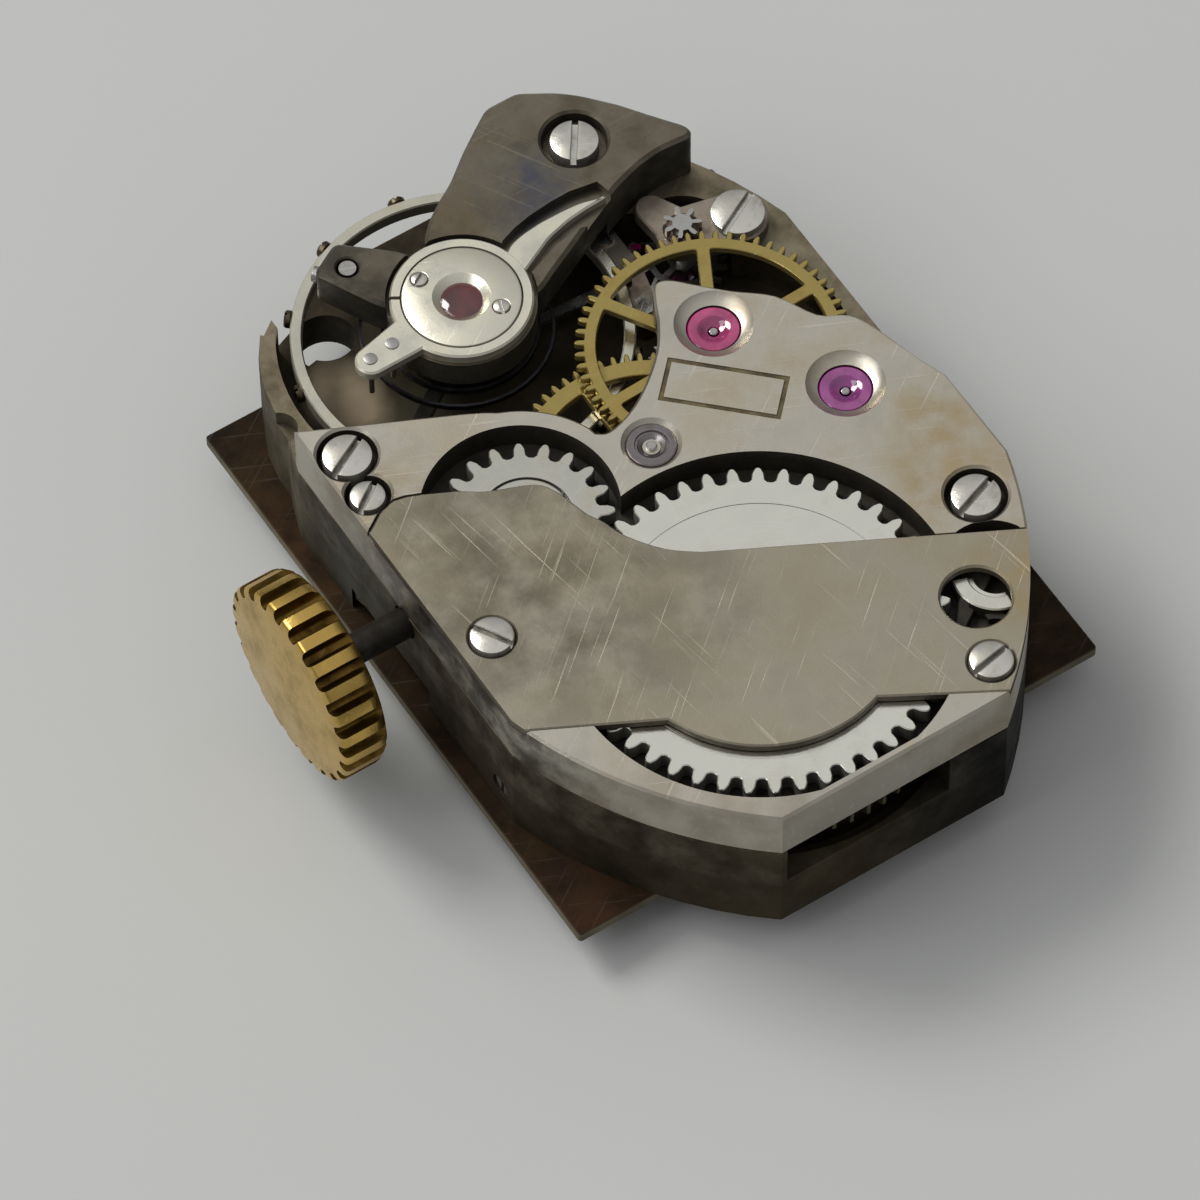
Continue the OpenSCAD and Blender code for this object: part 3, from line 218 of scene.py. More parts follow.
def windows(inner_r: float, outer_r: float, spokes: int, spoke_w: float, phase: float) -> list[Loop]:
    """Openings between a wheel's spokes.

    Args:
        inner_r: radius of the hub.
        outer_r: radius inside the rim.
        spokes: number of spokes.
        spoke_w: width of a spoke.
        phase: angle of the first spoke in degrees.

    Returns:
        Loops about the origin.
    """
    loops = []
    lean_in = math.degrees(math.asin(spoke_w / 2 / inner_r))
    lean_out = math.degrees(math.asin(spoke_w / 2 / outer_r))
    for i in range(spokes):
        a, b = phase + 360 * i / spokes, phase + 360 * (i + 1) / spokes
        loops.append(arc((0, 0), outer_r, a + lean_out, b - lean_out, 12)
                     + arc((0, 0), inner_r, b - lean_in, a + lean_in, 6))
    return loops


# Meshes


class Form:
    """A mesh being made in millimetres."""

    def __init__(self) -> None:
        """Starts with nothing in it."""
        self.bm = bmesh.new()

    @classmethod
    def slab(cls, outline: Loop, low: float, high: float, holes: Iterable[Loop] = (),
             rim: float = 0.0, foot: float = 0.0) -> "Form":
        """Flat piece of a given plan.

        Args:
            outline: its outer edge.
            low: height of its under face.
            high: height of its upper face.
            holes: loops cut through it.
            rim: chamfer of the upper edges, or a flare where negative.
            foot: chamfer of the lower edges.

        Returns:
            The closed form.
        """
        form = cls()
        bm = form.bm
        edges = []
        for loop in (outline, *holes):
            verts = [bm.verts.new((x, y, low + foot)) for x, y in loop]
            edges += [bm.edges.new(pair) for pair in zip(verts, verts[1:] + verts[:1])]
        bmesh.ops.triangle_fill(bm, use_beauty=True, use_dissolve=False, edges=edges, normal=(0, 0, 1))
        made = bmesh.ops.extrude_face_region(bm, geom=bm.faces[:])["geom"]
        bmesh.ops.translate(bm, vec=(0, 0, high - low - foot - abs(rim)),
                            verts=[g for g in made if isinstance(g, bmesh.types.BMVert)])
        top = [g for g in made if isinstance(g, bmesh.types.BMFace)]
        bmesh.ops.recalc_face_normals(bm, faces=bm.faces[:])
        under = [f for f in bm.faces if f.normal.z < -0.9]
        for faces, size in ((top, rim), (under, foot)):
            if size:
                bmesh.ops.inset_region(bm, faces=faces, use_boundary=True, use_even_offset=True,
                                       thickness=size, depth=abs(size))
        return form

    @classmethod
    def spun(cls, profile: Sequence[Point], at: Point = (0.0, 0.0), steps: int = 64) -> "Form":
        """Round piece spun about its upright axis from a profile.

        Args:
            profile: radius and height of each corner, from axis to axis or closed.
            at: place of its axis.
            steps: sides of a full turn.

        Returns:
            The closed form.
        """
        form = cls()
        bm = form.bm
        verts = [bm.verts.new((r, 0, z)) for r, z in profile]
        edges = [bm.edges.new(pair) for pair in zip(verts, verts[1:])]
        if profile[0][0] > 0 or profile[-1][0] > 0:
            edges.append(bm.edges.new((verts[-1], verts[0])))
        bmesh.ops.spin(bm, geom=verts + edges, cent=(0, 0, 0), axis=(0, 0, 1), dvec=(0, 0, 0),
                       angle=math.tau, steps=steps, use_merge=True, use_duplicate=False)
        bmesh.ops.remove_doubles(bm, verts=bm.verts[:], dist=1e-5)
        bmesh.ops.recalc_face_normals(bm, faces=bm.faces[:])
        return form.moved(at)

    @classmethod
    def box(cls, low: Sequence[float], high: Sequence[float]) -> "Form":
        """Rectangular block between two corners."""
        form = cls()
        start, end = Vector(low), Vector(high)
        bmesh.ops.create_cube(form.bm, size=1.0,
                              matrix=Matrix.LocRotScale((start + end) / 2, None, end - start))
        return form

    def moved(self, at: Sequence[float]) -> "Form":
        """Shifts the form."""
        vec = (at[0], at[1], at[2] if len(at) > 2 else 0.0)
        bmesh.ops.translate(self.bm, vec=vec, verts=self.bm.verts[:])
        return self

    def turned_by(self, angle: float, axis: str = "Z") -> "Form":
        """Turns the form about an axis through the origin."""
        bmesh.ops.rotate(self.bm, cent=(0, 0, 0), verts=self.bm.verts[:],
                         matrix=Matrix.Rotation(math.radians(angle), 3, axis))
        return self

    def join(self, *others: "Form") -> "Form":
        """Takes other forms into this one."""
        for other in others:
            data = bpy.data.meshes.new("part")
            other.bm.to_mesh(data)
            self.bm.from_mesh(data)
            bpy.data.meshes.remove(data)
            other.bm.free()
        return self

    def _loose(self) -> bpy.types.Object:
        """Puts the mesh in a scratch object."""
        data = bpy.data.meshes.new("scratch")
        self.bm.to_mesh(data)
        self.bm.free()
        piece = bpy.data.objects.new("scratch", data)
        bpy.context.scene.collection.objects.link(piece)
        return piece

    def _combine(self, others: Sequence["Form"], way: str) -> "Form":
        """Applies one boolean operation with each of the other forms."""
        base = self._loose()
        tools = [other._loose() for other in others]
        for tool in tools:
            step = base.modifiers.new("step", "BOOLEAN")
            step.operation, step.object, step.solver = way, tool, "EXACT"
        evaluated = base.evaluated_get(bpy.context.evaluated_depsgraph_get())
        data = bpy.data.meshes.new_from_object(evaluated)
        self.bm = bmesh.new()
        self.bm.from_mesh(data)
        for piece in (base, *tools):
            bpy.data.objects.remove(piece)
        bmesh.ops.remove_doubles(self.bm, verts=self.bm.verts[:], dist=1e-5)
        bmesh.ops.dissolve_degenerate(self.bm, dist=1e-5, edges=self.bm.edges[:])
        return self

    def cut(self, *others: "Form") -> "Form":
        """Takes other forms away."""
        return self._combine(others, "DIFFERENCE")

    def keep(self, other: "Form") -> "Form":
        """Keeps what lies in both."""
        return self._combine([other], "INTERSECT")

    def fuse(self, *others: "Form") -> "Form":
        """Joins solids into one skin."""
        return self._combine(others, "UNION")

    def tell(self, test: Callable[[Vector, Vector], bool]) -> "Form":
        """Gives the faces that pass a test, by centre and normal, the piece's second finish."""
        self.bm.normal_update()
        for face in self.bm.faces:
            if test(face.calc_center_median(), face.normal):
                face.material_index = 1
        return self

    def piece(self, name: str, finish: "Finish", body: str, nodes: Sequence[str] = (),
              slot: str = "", crease: float = 32, second: "Finish | None" = None) -> bpy.types.Object:
        """Makes the finished object.

        Args:
            name: its name.
            finish: what it is made of.
            body: body that it rides on.
            nodes: solids that it stands for.
            slot: name of a material slot; not used.
            crease: edges sharper than this angle stay sharp.
            second: finish of the faces that were told apart.

        Returns:
            The object, at the origin.
        """
        bmesh.ops.scale(self.bm, vec=(MM, MM, MM), verts=self.bm.verts[:])
        data = bpy.data.meshes.new(name)
        self.bm.to_mesh(data)
        self.bm.free()
        data.polygons.foreach_set("use_smooth", [True] * len(data.polygons))
        data.set_sharp_from_angle(angle=math.radians(crease))
        data.materials.append(finish.material())
        if second:
            data.materials.append(second.material())
        made = bpy.data.objects.new(name, data)
        bpy.context.scene.collection.objects.link(made)
        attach(made, body)
        if nodes:
            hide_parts(*nodes)
        log.info("%s: %d faces", name, len(data.polygons))
        return made


# Finishes


class Nodes:
    """Writes one material's node tree."""

    def __init__(self, name: str) -> None:
        """Starts a material with a Principled shader and Object coordinates."""
        self.made = bpy.data.materials.new(name)
        self.made.use_nodes = True
        self.tree = self.made.node_tree
        self.shader = self.tree.nodes["Principled BSDF"]
        place = self.tree.nodes.new("ShaderNodeTexCoord")
        self.coords, self.normals = place.outputs["Object"], place.outputs["Normal"]

    def link(self, source: bpy.types.NodeSocket, target: bpy.types.NodeSocket) -> None:
        """Joins two sockets."""
        self.tree.links.new(source, target)

    def mapped(self, stretch: Sequence[float], turn: float = 0.0) -> bpy.types.NodeSocket:
        """Object coordinates stretched along each axis after a turn about Z."""
        first = self.tree.nodes.new("ShaderNodeMapping")
        first.inputs["Rotation"].default_value = (0, 0, math.radians(turn))
        self.link(self.coords, first.inputs["Vector"])
        second = self.tree.nodes.new("ShaderNodeMapping")
        second.inputs["Scale"].default_value = tuple(stretch)
        self.link(first.outputs["Vector"], second.inputs["Vector"])
        return second.outputs["Vector"]

    def noise(self, size: float, detail: float = 4, rough: float = 0.55,
              vector: bpy.types.NodeSocket | None = None) -> bpy.types.NodeSocket:
        """Cloudy noise.

        Args:
            size: size of its blotches, in millimetres.
            detail: how many finer layers it has.
            rough: how strong they are.
            vector: where it is read, or none for the piece's own frame.

        Returns:
            Its value, from 0 to 1.
        """
        node = self.tree.nodes.new("ShaderNodeTexNoise")
        node.inputs["Scale"].default_value = 1 / (size * MM)
        node.inputs["Detail"].default_value = detail
        node.inputs["Roughness"].default_value = rough
        self.link(vector or self.coords, node.inputs["Vector"])
        return node.outputs["Fac"]

    def distance(self, at: Point) -> bpy.types.NodeSocket:
        """Distance in metres from an upright axis."""
        flat = self.tree.nodes.new("ShaderNodeVectorMath")
        flat.operation = "MULTIPLY"
        flat.inputs[1].default_value = (1, 1, 0)
        self.link(self.coords, flat.inputs[0])
        node = self.tree.nodes.new("ShaderNodeVectorMath")
        node.operation = "DISTANCE"
        node.inputs[1].default_value = (at[0] * MM, at[1] * MM, 0)
        self.link(flat.outputs["Vector"], node.inputs[0])
        return node.outputs["Value"]

    def along(self, value: bpy.types.NodeSocket, scale: float) -> bpy.types.NodeSocket:
        """Vector whose X follows a value."""
        node = self.tree.nodes.new("ShaderNodeCombineXYZ")
        self.link(self.sums("MULTIPLY", value, scale), node.inputs["X"])
        return node.outputs["Vector"]

    def height(self) -> bpy.types.NodeSocket:
        """Height in metres in the piece's own frame."""
        node = self.tree.nodes.new("ShaderNodeSeparateXYZ")
        self.link(self.coords, node.inputs[0])
        return node.outputs["Z"]

    def facing_up(self) -> bpy.types.NodeSocket:
        """How far a face looks up or down, in the piece's own frame."""
        node = self.tree.nodes.new("ShaderNodeSeparateXYZ")
        self.link(self.normals, node.inputs[0])
        return self.sums("ABSOLUTE", node.outputs["Z"], 0.0)

    def ramp(self, value: bpy.types.NodeSocket, low: float, high: float,
             to_low: float = 0.0, to_high: float = 1.0) -> bpy.types.NodeSocket:
        """Stretches a value from one range to another.

        Args:
            value: the value.
            low: start of its range.
            high: end of its range.
            to_low: what its start becomes.
            to_high: what its end becomes.

        Returns:
            The new value, clamped to its range.
        """
        node = self.tree.nodes.new("ShaderNodeMapRange")
        for name, number in (("From Min", low), ("From Max", high), ("To Min", to_low), ("To Max", to_high)):
            node.inputs[name].default_value = number
        self.link(value, node.inputs["Value"])
        return node.outputs["Result"]

    def mix(self, factor: bpy.types.NodeSocket, first: "bpy.types.NodeSocket | Colour",
            second: "bpy.types.NodeSocket | Colour") -> bpy.types.NodeSocket:
        """Mixes two colours."""
        node = self.tree.nodes.new("ShaderNodeMix")
        node.data_type = "RGBA"
        self.link(factor, node.inputs["Factor"])
        for socket, value in ((node.inputs[6], first), (node.inputs[7], second)):
            if isinstance(value, tuple):
                socket.default_value = (*value, 1.0)
            else:
                self.link(value, socket)
        return node.outputs[2]

    def sums(self, way: str, first: bpy.types.NodeSocket,
             second: "bpy.types.NodeSocket | float") -> bpy.types.NodeSocket:
        """Arithmetic on two values."""
        node = self.tree.nodes.new("ShaderNodeMath")
        node.operation = way
        node.use_clamp = way == "ADD"
        self.link(first, node.inputs[0])
        if isinstance(second, float):
            node.inputs[1].default_value = second
        else:
            self.link(second, node.inputs[1])
        return node.outputs[0]

    def bump(self, height: bpy.types.NodeSocket, strength: float, depth: float) -> None:
        """Roughens the surface by a height in millimetres."""
        node = self.tree.nodes.new("ShaderNodeBump")
        node.inputs["Strength"].default_value = strength
        node.inputs["Distance"].default_value = depth * MM
        self.link(height, node.inputs["Height"])
        self.link(node.outputs["Normal"], self.shader.inputs["Normal"])


class Finish:
    """Something a piece is made of, with one material made on first use."""

    name: str
    _kept: ClassVar[dict[str, bpy.types.Material]] = {}

    def material(self) -> bpy.types.Material:
        """The finish's material."""
        if self.name not in Finish._kept:
            Finish._kept[self.name] = self.dress(Nodes(self.name))
        return Finish._kept[self.name]

    def dress(self, nodes: Nodes) -> bpy.types.Material:
        """Fills in the material."""
        raise NotImplementedError


class Where(Enum):
    """What a spot reaches: plain faces, side walls over their painted shade and dirt, or everything."""

    FACES = "faces"
    WALLS = "walls"
    ALL = "all"


@dataclass(frozen=True)
class Spot:
    """A mark at a place, as seen from above: a stain, or a patch of painted shade on walls and in the window
    bay.

    Attributes:
        at: its middle.
        reach: how far it spreads, in millimetres.
        colour: colour that it brings.
        share: how much it covers at its middle.
        where: which faces it reaches.
    """

    at: Point
    reach: float
    colour: Colour
    share: float
    where: Where = Where.FACES


@dataclass(frozen=True)
class Metal(Finish):
    """A worn metal: clean colour, stains, specks, grain, scratches, and painted shade with dirt on walls and
    in the depths.

    Attributes:
        name: the material's name.
        colour: clean colour.
        stain: colour of the patina.
        dirt: colour of the specks.
        stained: how much of it the patina takes, from 0 to 1.
        stain_size: size of the patina's blotches, in millimetres.
        dirty: how thick the specks lie, from 0 to 1.
        rough: mean roughness.
        rough_swing: how far the roughness goes to each side of its mean.
        scratched: how bright and deep the scratches are.
        scratch_turn: direction of the scratches, in degrees.
        grain: height of the fine grain.
        metallic: how metallic the clean surface is.
        shine: its specular level.
        walls: how thick the wall colour lies on side walls, from 0 to 1: painted shade with dirt, and on the
            dial a paler edge.
        wall_colour: colour of the painted shade and dirt on walls and in the depths; on the dial, of its
            paler edge.
        depths: heights between which the painted shade and dirt of the depths thin out, from below; none
            where equal.
        turned_about: axis of a turned surface's rings, in place of straight scratches.
        spots: stains, and patches of painted shade, at places of their own.
    """

    name: str
    colour: Colour
    stain: Colour
    dirt: Colour = (0.05, 0.045, 0.035)
    stained: float = 0.45
    stain_size: float = 1.4
    dirty: float = 0.25
    rough: float = 0.3
    rough_swing: float = 0.14
    scratched: float = 0.5
    scratch_turn: float = 25.0
    grain: float = 0.35
    metallic: float = 1.0
    shine: float = 0.5
    walls: float = 0.0
    wall_colour: Colour = (0.075, 0.062, 0.045)
    depths: tuple[float, float] = (0.0, 0.0)
    turned_about: tuple[float, float] | None = None
    spots: tuple[Spot, ...] = ()

    def _scratches(self, nodes: Nodes) -> bpy.types.NodeSocket:
        """Fine lines, straight and crossing, or round an axis."""
        if self.turned_about:
            reach = nodes.distance(self.turned_about)
            lines = nodes.noise(1.0, 3, 0.5, nodes.along(reach, 26.0))
            return nodes.ramp(lines, 0.5, 0.72)
        lines = nodes.noise(1.0, 2, 0.4, nodes.mapped((0.5, 18.0, 4.0), self.scratch_turn))
        cross = nodes.noise(1.0, 2, 0.4, nodes.mapped((14.0, 0.4, 4.0), self.scratch_turn + 31))
        return nodes.ramp(nodes.sums("MAXIMUM", lines, cross), 0.66, 0.74)

    def _lay_stain_or_shade_spot(self, nodes: Nodes, spot: Spot, colour: bpy.types.NodeSocket) -> bpy.types.NodeSocket:
        """Lays one spot over the colour so far: a stain, or painted shade on walls and in the window bay."""
        near = nodes.ramp(nodes.distance(spot.at), spot.reach * MM, spot.reach * 0.35 * MM)
        # A spot on everything, such as the painted shade over the window bay, is firm, and the others are
        # patchy.
        least = 0.8 if spot.where is Where.ALL else 0.15
        cloud = nodes.ramp(nodes.noise(min(spot.reach, 2.0) * 0.45, 4, 0.6), 0.36, 0.62, least, 1.0)
        share = nodes.sums("MULTIPLY", nodes.sums("MULTIPLY", near, cloud), spot.share)
        if spot.where is Where.WALLS:
            share = nodes.sums("MULTIPLY", share, nodes.ramp(nodes.facing_up(), 0.35, 0.8, 1.0, 0.0))
        return nodes.mix(share, colour, spot.colour)

    def _shade_and_dirt(self, nodes: Nodes, colour: bpy.types.NodeSocket, blotch: bpy.types.NodeSocket
               ) -> tuple[bpy.types.NodeSocket, bpy.types.NodeSocket | None]:
        """Lays the wall colour over side walls and darkens the depths: painted shade with dirt, and on the
        dial a paler edge.

        Args:
            nodes: the tree being written.
            colour: colour so far.
            blotch: noise that breaks the edge of the painted shade and dirt.

        Returns:
            The colour and how thick the painted shade and dirt lie.
        """
        thick = None
        # Side walls take the wall colour: painted shade with dirt, paler on the dial.
        if self.walls:
            upright = nodes.ramp(nodes.facing_up(), 0.35, 0.8, self.walls, 0.0)
            thick = nodes.sums("MULTIPLY", upright, nodes.ramp(blotch, 0.25, 0.75, 0.78, 1.0))
        # Faces low in the piece darken towards the bottom: painted shade with dirt.
        if self.depths[1] > self.depths[0]:
            low = nodes.ramp(nodes.height(), self.depths[0] * MM, self.depths[1] * MM, 0.94, 0.0)
            thick = nodes.sums("MAXIMUM", thick, low) if thick else low
        if thick is None:
            return colour, None
        shade = nodes.mix(nodes.ramp(blotch, 0.35, 0.7), self.wall_colour,
                          tuple(c * 0.45 for c in self.wall_colour))
        return nodes.mix(thick, colour, shade), thick

    def _layers(self, nodes: Nodes, blotch: bpy.types.NodeSocket, specks: bpy.types.NodeSocket,
                scratch: bpy.types.NodeSocket) -> tuple[bpy.types.NodeSocket, bpy.types.NodeSocket | None]:
        """Lays patina, stains, specks, scratches, and painted shade with dirt over each other.

        Args:
            nodes: the tree being written.
            blotch: noise of the patina and of the painted shade and dirt.
            specks: where dirt specks lie.
            scratch: where scratches run.

        Returns:
            The colour and how thick the painted shade and dirt lie.
        """
        patina = nodes.ramp(blotch, 0.72 - self.stained * 0.6, 0.86 - self.stained * 0.4)
        colour = nodes.mix(patina, self.colour, self.stain)
        for spot in self.spots:
            if spot.where is Where.FACES:
                colour = self._lay_stain_or_shade_spot(nodes, spot, colour)
        colour = nodes.mix(nodes.sums("MULTIPLY", specks, 0.8), colour, self.dirt)
        bright = tuple(min(1.0, c * 1.25 + 0.08) for c in self.colour)
        colour = nodes.mix(nodes.sums("MULTIPLY", scratch, self.scratched * 0.6), colour, bright)
        # Then painted shade with dirt on walls and depths, and over it the spots that reach walls or
        # everything, some of them painted shade.
        colour, thick = self._shade_and_dirt(nodes, colour, blotch)
        for spot in self.spots:
            if spot.where is not Where.FACES:
                colour = self._lay_stain_or_shade_spot(nodes, spot, colour)
        return colour, thick

    def dress(self, nodes: Nodes) -> bpy.types.Material:
        """Links colour, roughness, metal, shine and bump."""
        shader = nodes.shader
        blotch = nodes.noise(self.stain_size, 7, 0.62)
        specks = nodes.ramp(nodes.noise(0.16, 5, 0.7), 0.74 - self.dirty * 0.3, 0.82 - self.dirty * 0.2)
        scratch, fine = self._scratches(nodes), nodes.noise(0.05, 3, 0.6)
        colour, thick = self._layers(nodes, blotch, specks, scratch)
        nodes.link(colour, shader.inputs["Base Color"])
        rough = nodes.ramp(blotch, 0.3, 0.7, self.rough - self.rough_swing, self.rough + self.rough_swing)
        rough = nodes.sums("ADD", rough, nodes.sums("MULTIPLY", specks, 0.25))
        if thick:
            rough = nodes.sums("ADD", rough, nodes.sums("MULTIPLY", thick, 0.22))
            nodes.link(nodes.ramp(thick, 0.0, 1.0, self.metallic, 0.3 * self.metallic),
                       shader.inputs["Metallic"])
            nodes.link(nodes.ramp(thick, 0.0, 1.0, self.shine, 0.12), shader.inputs["Specular IOR Level"])
        else:
            shader.inputs["Metallic"].default_value = self.metallic
            shader.inputs["Specular IOR Level"].default_value = self.shine
        nodes.link(rough, shader.inputs["Roughness"])
        height = nodes.sums("SUBTRACT", nodes.sums("MULTIPLY", fine, self.grain),
                            nodes.sums("MULTIPLY", scratch, self.scratched * 0.5))
        nodes.bump(height, 0.5, 0.01)
        return nodes.made


@dataclass(frozen=True)
class Jewel(Finish):
    """A polished synthetic stone.

    Attributes:
        name: the material's name.
        colour: its lighter colour.
        deep: its darker colour.
        through: how much light it lets through.
    """

    name: str
    colour: Colour
    deep: Colour
    through: float = 0.35

    def dress(self, nodes: Nodes) -> bpy.types.Material:
        """Clouded, glossy and partly clear."""
        shader = nodes.shader
        cloud = nodes.ramp(nodes.noise(0.3, 3, 0.5), 0.35, 0.65)
        nodes.link(nodes.mix(cloud, self.colour, self.deep), shader.inputs["Base Color"])
        nodes.link(nodes.ramp(nodes.noise(0.1, 3, 0.6), 0.3, 0.8, 0.04, 0.16), shader.inputs["Roughness"])
        shader.inputs["IOR"].default_value = 1.76
        shader.inputs["Transmission Weight"].default_value = self.through
        shader.inputs["Coat Weight"].default_value = 0.5
        shader.inputs["Coat Roughness"].default_value = 0.05
        nodes.bump(nodes.noise(0.2, 2, 0.5), 0.15, 0.01)
        return nodes.made


@dataclass(frozen=True)
class Paper(Finish):
    """The pale floor, seen as background but still shaded."""

    name: str
    colour: Colour

    def dress(self, nodes: Nodes) -> bpy.types.Material:
        """Matte, with the faintest mottling."""
        tone = nodes.ramp(nodes.noise(6, 3, 0.5), 0.3, 0.7)
        paler = tuple(c * 1.015 for c in self.colour)
        nodes.link(nodes.mix(tone, self.colour, paler), nodes.shader.inputs["Base Color"])
        nodes.link(nodes.ramp(nodes.noise(3), 0.3, 0.7, 0.8, 0.92), nodes.shader.inputs["Roughness"])
        nodes.shader.inputs["Specular IOR Level"].default_value = 0.2
        nodes.bump(nodes.noise(0.3, 3, 0.6), 0.1, 0.02)
        return nodes.made


YELLOWED = (0.40, 0.29, 0.11)
# Near-black painted shade with dirt, for the bridge's recesses and sinks and the click's low faces.
RECESS_SHADE_AND_DIRT = Metal("recess_shade_and_dirt", (0.035, 0.028, 0.018), (0.012, 0.010, 0.007), stained=0.5, stain_size=0.5,
              dirty=0.3, rough=0.6, scratched=0.1, metallic=0.3)
ENGRAVED = Metal("engraved", (0.16, 0.125, 0.06), (0.06, 0.045, 0.025), stained=0.6, stain_size=0.3,
                 dirty=0.4, rough=0.55, scratched=0.1, metallic=0.5)
BRIDGE_NICKEL = Metal("bridge_nickel", (0.57, 0.535, 0.455), (0.45, 0.385, 0.285), stained=0.42,
                      dirty=0.14, rough=0.36, rough_swing=0.08, scratched=0.5, walls=0.35,
                      wall_colour=(0.20, 0.18, 0.14),
                      spots=(Spot((4.4, -2.6), 1.6, YELLOWED, 0.6), Spot((3.6, -3.6), 1.0, YELLOWED, 0.5),
                             Spot((-4.4, 1.6), 1.2, (0.30, 0.24, 0.14), 0.5),
                             # The spots that reach the walls are painted shade: near black on the left walls
                             # by the crown, darker on the lower left and the end wall.
                             Spot((-7.5, -1.5), 5.4, (0.02, 0.018, 0.012), 1.0, Where.WALLS),
                             Spot((-6.4, -1.5), 3.4, (0.008, 0.007, 0.005), 1.0, Where.WALLS),
                             Spot((-5.6, -3.6), 2.4, (0.035, 0.027, 0.012), 1.0, Where.WALLS),
                             Spot((5.6, -5.4), 2.4, (0.10, 0.09, 0.06), 0.8, Where.WALLS),
                             Spot((-2.6, -6.6), 3.0, (0.40, 0.36, 0.29), 0.85),
                             Spot((-3.2, 2.7), 1.8, (0.43, 0.39, 0.32), 0.7)))
COVER_NICKEL = Metal("cover_nickel", (0.44, 0.405, 0.315), (0.36, 0.31, 0.225), stained=0.5,
                     dirty=0.16, rough=0.36, rough_swing=0.08, scratched=0.6, scratch_turn=-40,
                     walls=0.9, wall_colour=(0.06, 0.05, 0.035),
                     spots=(Spot((-3.2, -1.4), 4.2, (0.19, 0.168, 0.12), 0.85),
                            Spot((-1.2, -3.4), 2.4, (0.30, 0.27, 0.20), 0.5),
                            Spot((-4.2, 0.6), 1.5, (0.20, 0.175, 0.125), 0.7),
                            Spot((3.6, -6.0), 1.4, YELLOWED, 0.5)))
PLATE_NICKEL = Metal("plate_nickel", (0.30, 0.255, 0.175), (0.12, 0.10, 0.065), stained=0.6,
                     stain_size=0.8, dirty=0.4, rough=0.45, scratched=0.25, walls=0.97,
                     wall_colour=(0.03, 0.022, 0.011), depths=(1.45, 2.3),
                     # The spots that reach the walls are painted shade, and the near-black spot at the window
                     # bay is painted shade over everything in it.
                     spots=(Spot((-2.2, -8.2), 3.0, (0.055, 0.04, 0.018), 0.7, Where.WALLS),
                            Spot((2.4, -6.7), 2.7, (0.002, 0.002, 0.0015), 1.0, Where.ALL),
                            Spot((-3.25, 5.25), 0.85, (0.36, 0.29, 0.20), 1.0, Where.ALL),
                            Spot((-3.2, 4.7), 0.7, (0.30, 0.235, 0.16), 0.9, Where.ALL),
                            Spot((-2.3, 4.1), 0.9, (0.055, 0.05, 0.03), 0.8, Where.ALL),
                            Spot((-5.6, 4.6), 1.9, (0.13, 0.115, 0.08), 0.9, Where.WALLS),
                            Spot((-5.6, 1.6), 1.6, (0.07, 0.07, 0.06), 0.8, Where.WALLS)))
COCK_GREY = Metal("cock_grey", (0.22, 0.195, 0.145), (0.115, 0.10, 0.07), stained=0.55,
                  stain_size=0.9, dirty=0.35, rough=0.38, scratched=0.35, scratch_turn=60,
                  walls=0.95, wall_colour=(0.03, 0.027, 0.02),
                  spots=(Spot((1.1, 5.9), 1.1, (0.075, 0.085, 0.125), 0.75),
                         Spot((-0.2, 6.2), 0.9, (0.16, 0.12, 0.075), 0.6),
                         Spot((0.9, 5.2), 0.8, (0.085, 0.08, 0.115), 0.5),
                         Spot((-2.4, 5.8), 1.7, (0.055, 0.05, 0.042), 0.95)))
ESCAPE_NICKEL = Metal("escape_nickel", (0.36, 0.31, 0.25), (0.22, 0.175, 0.135), stained=0.5,
                      stain_size=0.6, dirty=0.3, rough=0.42, scratched=0.3, walls=0.8)
REGULATOR_STEEL = Metal("regulator_steel", (0.83, 0.80, 0.67), (0.70, 0.66, 0.52), stained=0.35,
                        stain_size=0.8, dirty=0.1, rough=0.3, scratched=0.35, walls=0.75,
                        wall_colour=(0.22, 0.2, 0.15))
STEEL = Metal("steel", (0.52, 0.51, 0.49), (0.34, 0.32, 0.29), stained=0.45, stain_size=0.5,
              dirty=0.2, rough=0.3, scratched=0.4)
# Near-black steel: dirt, and painted shade on the stem beside the crown and on the balance's arms under the
# cock.
DIRTY_SHADED_STEEL = Metal("dirty_shaded_steel", (0.05, 0.045, 0.036), (0.02, 0.016, 0.012), stained=0.6,
                    stain_size=0.4, dirty=0.5, rough=0.5, scratched=0.2, metallic=0.6)
SCREW_STEEL = Metal("screw_steel", (0.76, 0.73, 0.66), (0.52, 0.48, 0.40), stained=0.4,
                    stain_size=0.35, dirty=0.22, rough=0.26, scratched=0.5, walls=0.85)
RATCHET_STEEL = Metal("ratchet_steel", (0.92, 0.90, 0.80), (0.76, 0.73, 0.62), stained=0.35,
                      stain_size=1.0, dirty=0.1, rough=0.22, rough_swing=0.07, scratched=0.3,
                      turned_about=(-0.46, -4.2), walls=0.95, wall_colour=(0.05, 0.042, 0.03))
CROWN_WHEEL_STEEL = Metal("crown_wheel_steel", (0.70, 0.68, 0.60), (0.50, 0.47, 0.37), stained=0.4,
                          stain_size=0.7, dirty=0.14, rough=0.24, scratched=0.3,
                          turned_about=(-2.62, 0.0), walls=0.95, wall_colour=(0.05, 0.042, 0.03))
BUSH_STEEL = Metal("bush_steel", (0.26, 0.235, 0.235), (0.15, 0.13, 0.13), stained=0.4, stain_size=0.3,
                   dirty=0.2, rough=0.3, scratched=0.4, turned_about=(0.0, 0.0))
BRASS = Metal("brass", (0.50, 0.385, 0.13), (0.33, 0.235, 0.075), stained=0.4, stain_size=0.7,
              dirty=0.16, rough=0.28, scratched=0.3, walls=0.6, wall_colour=(0.16, 0.11, 0.035))
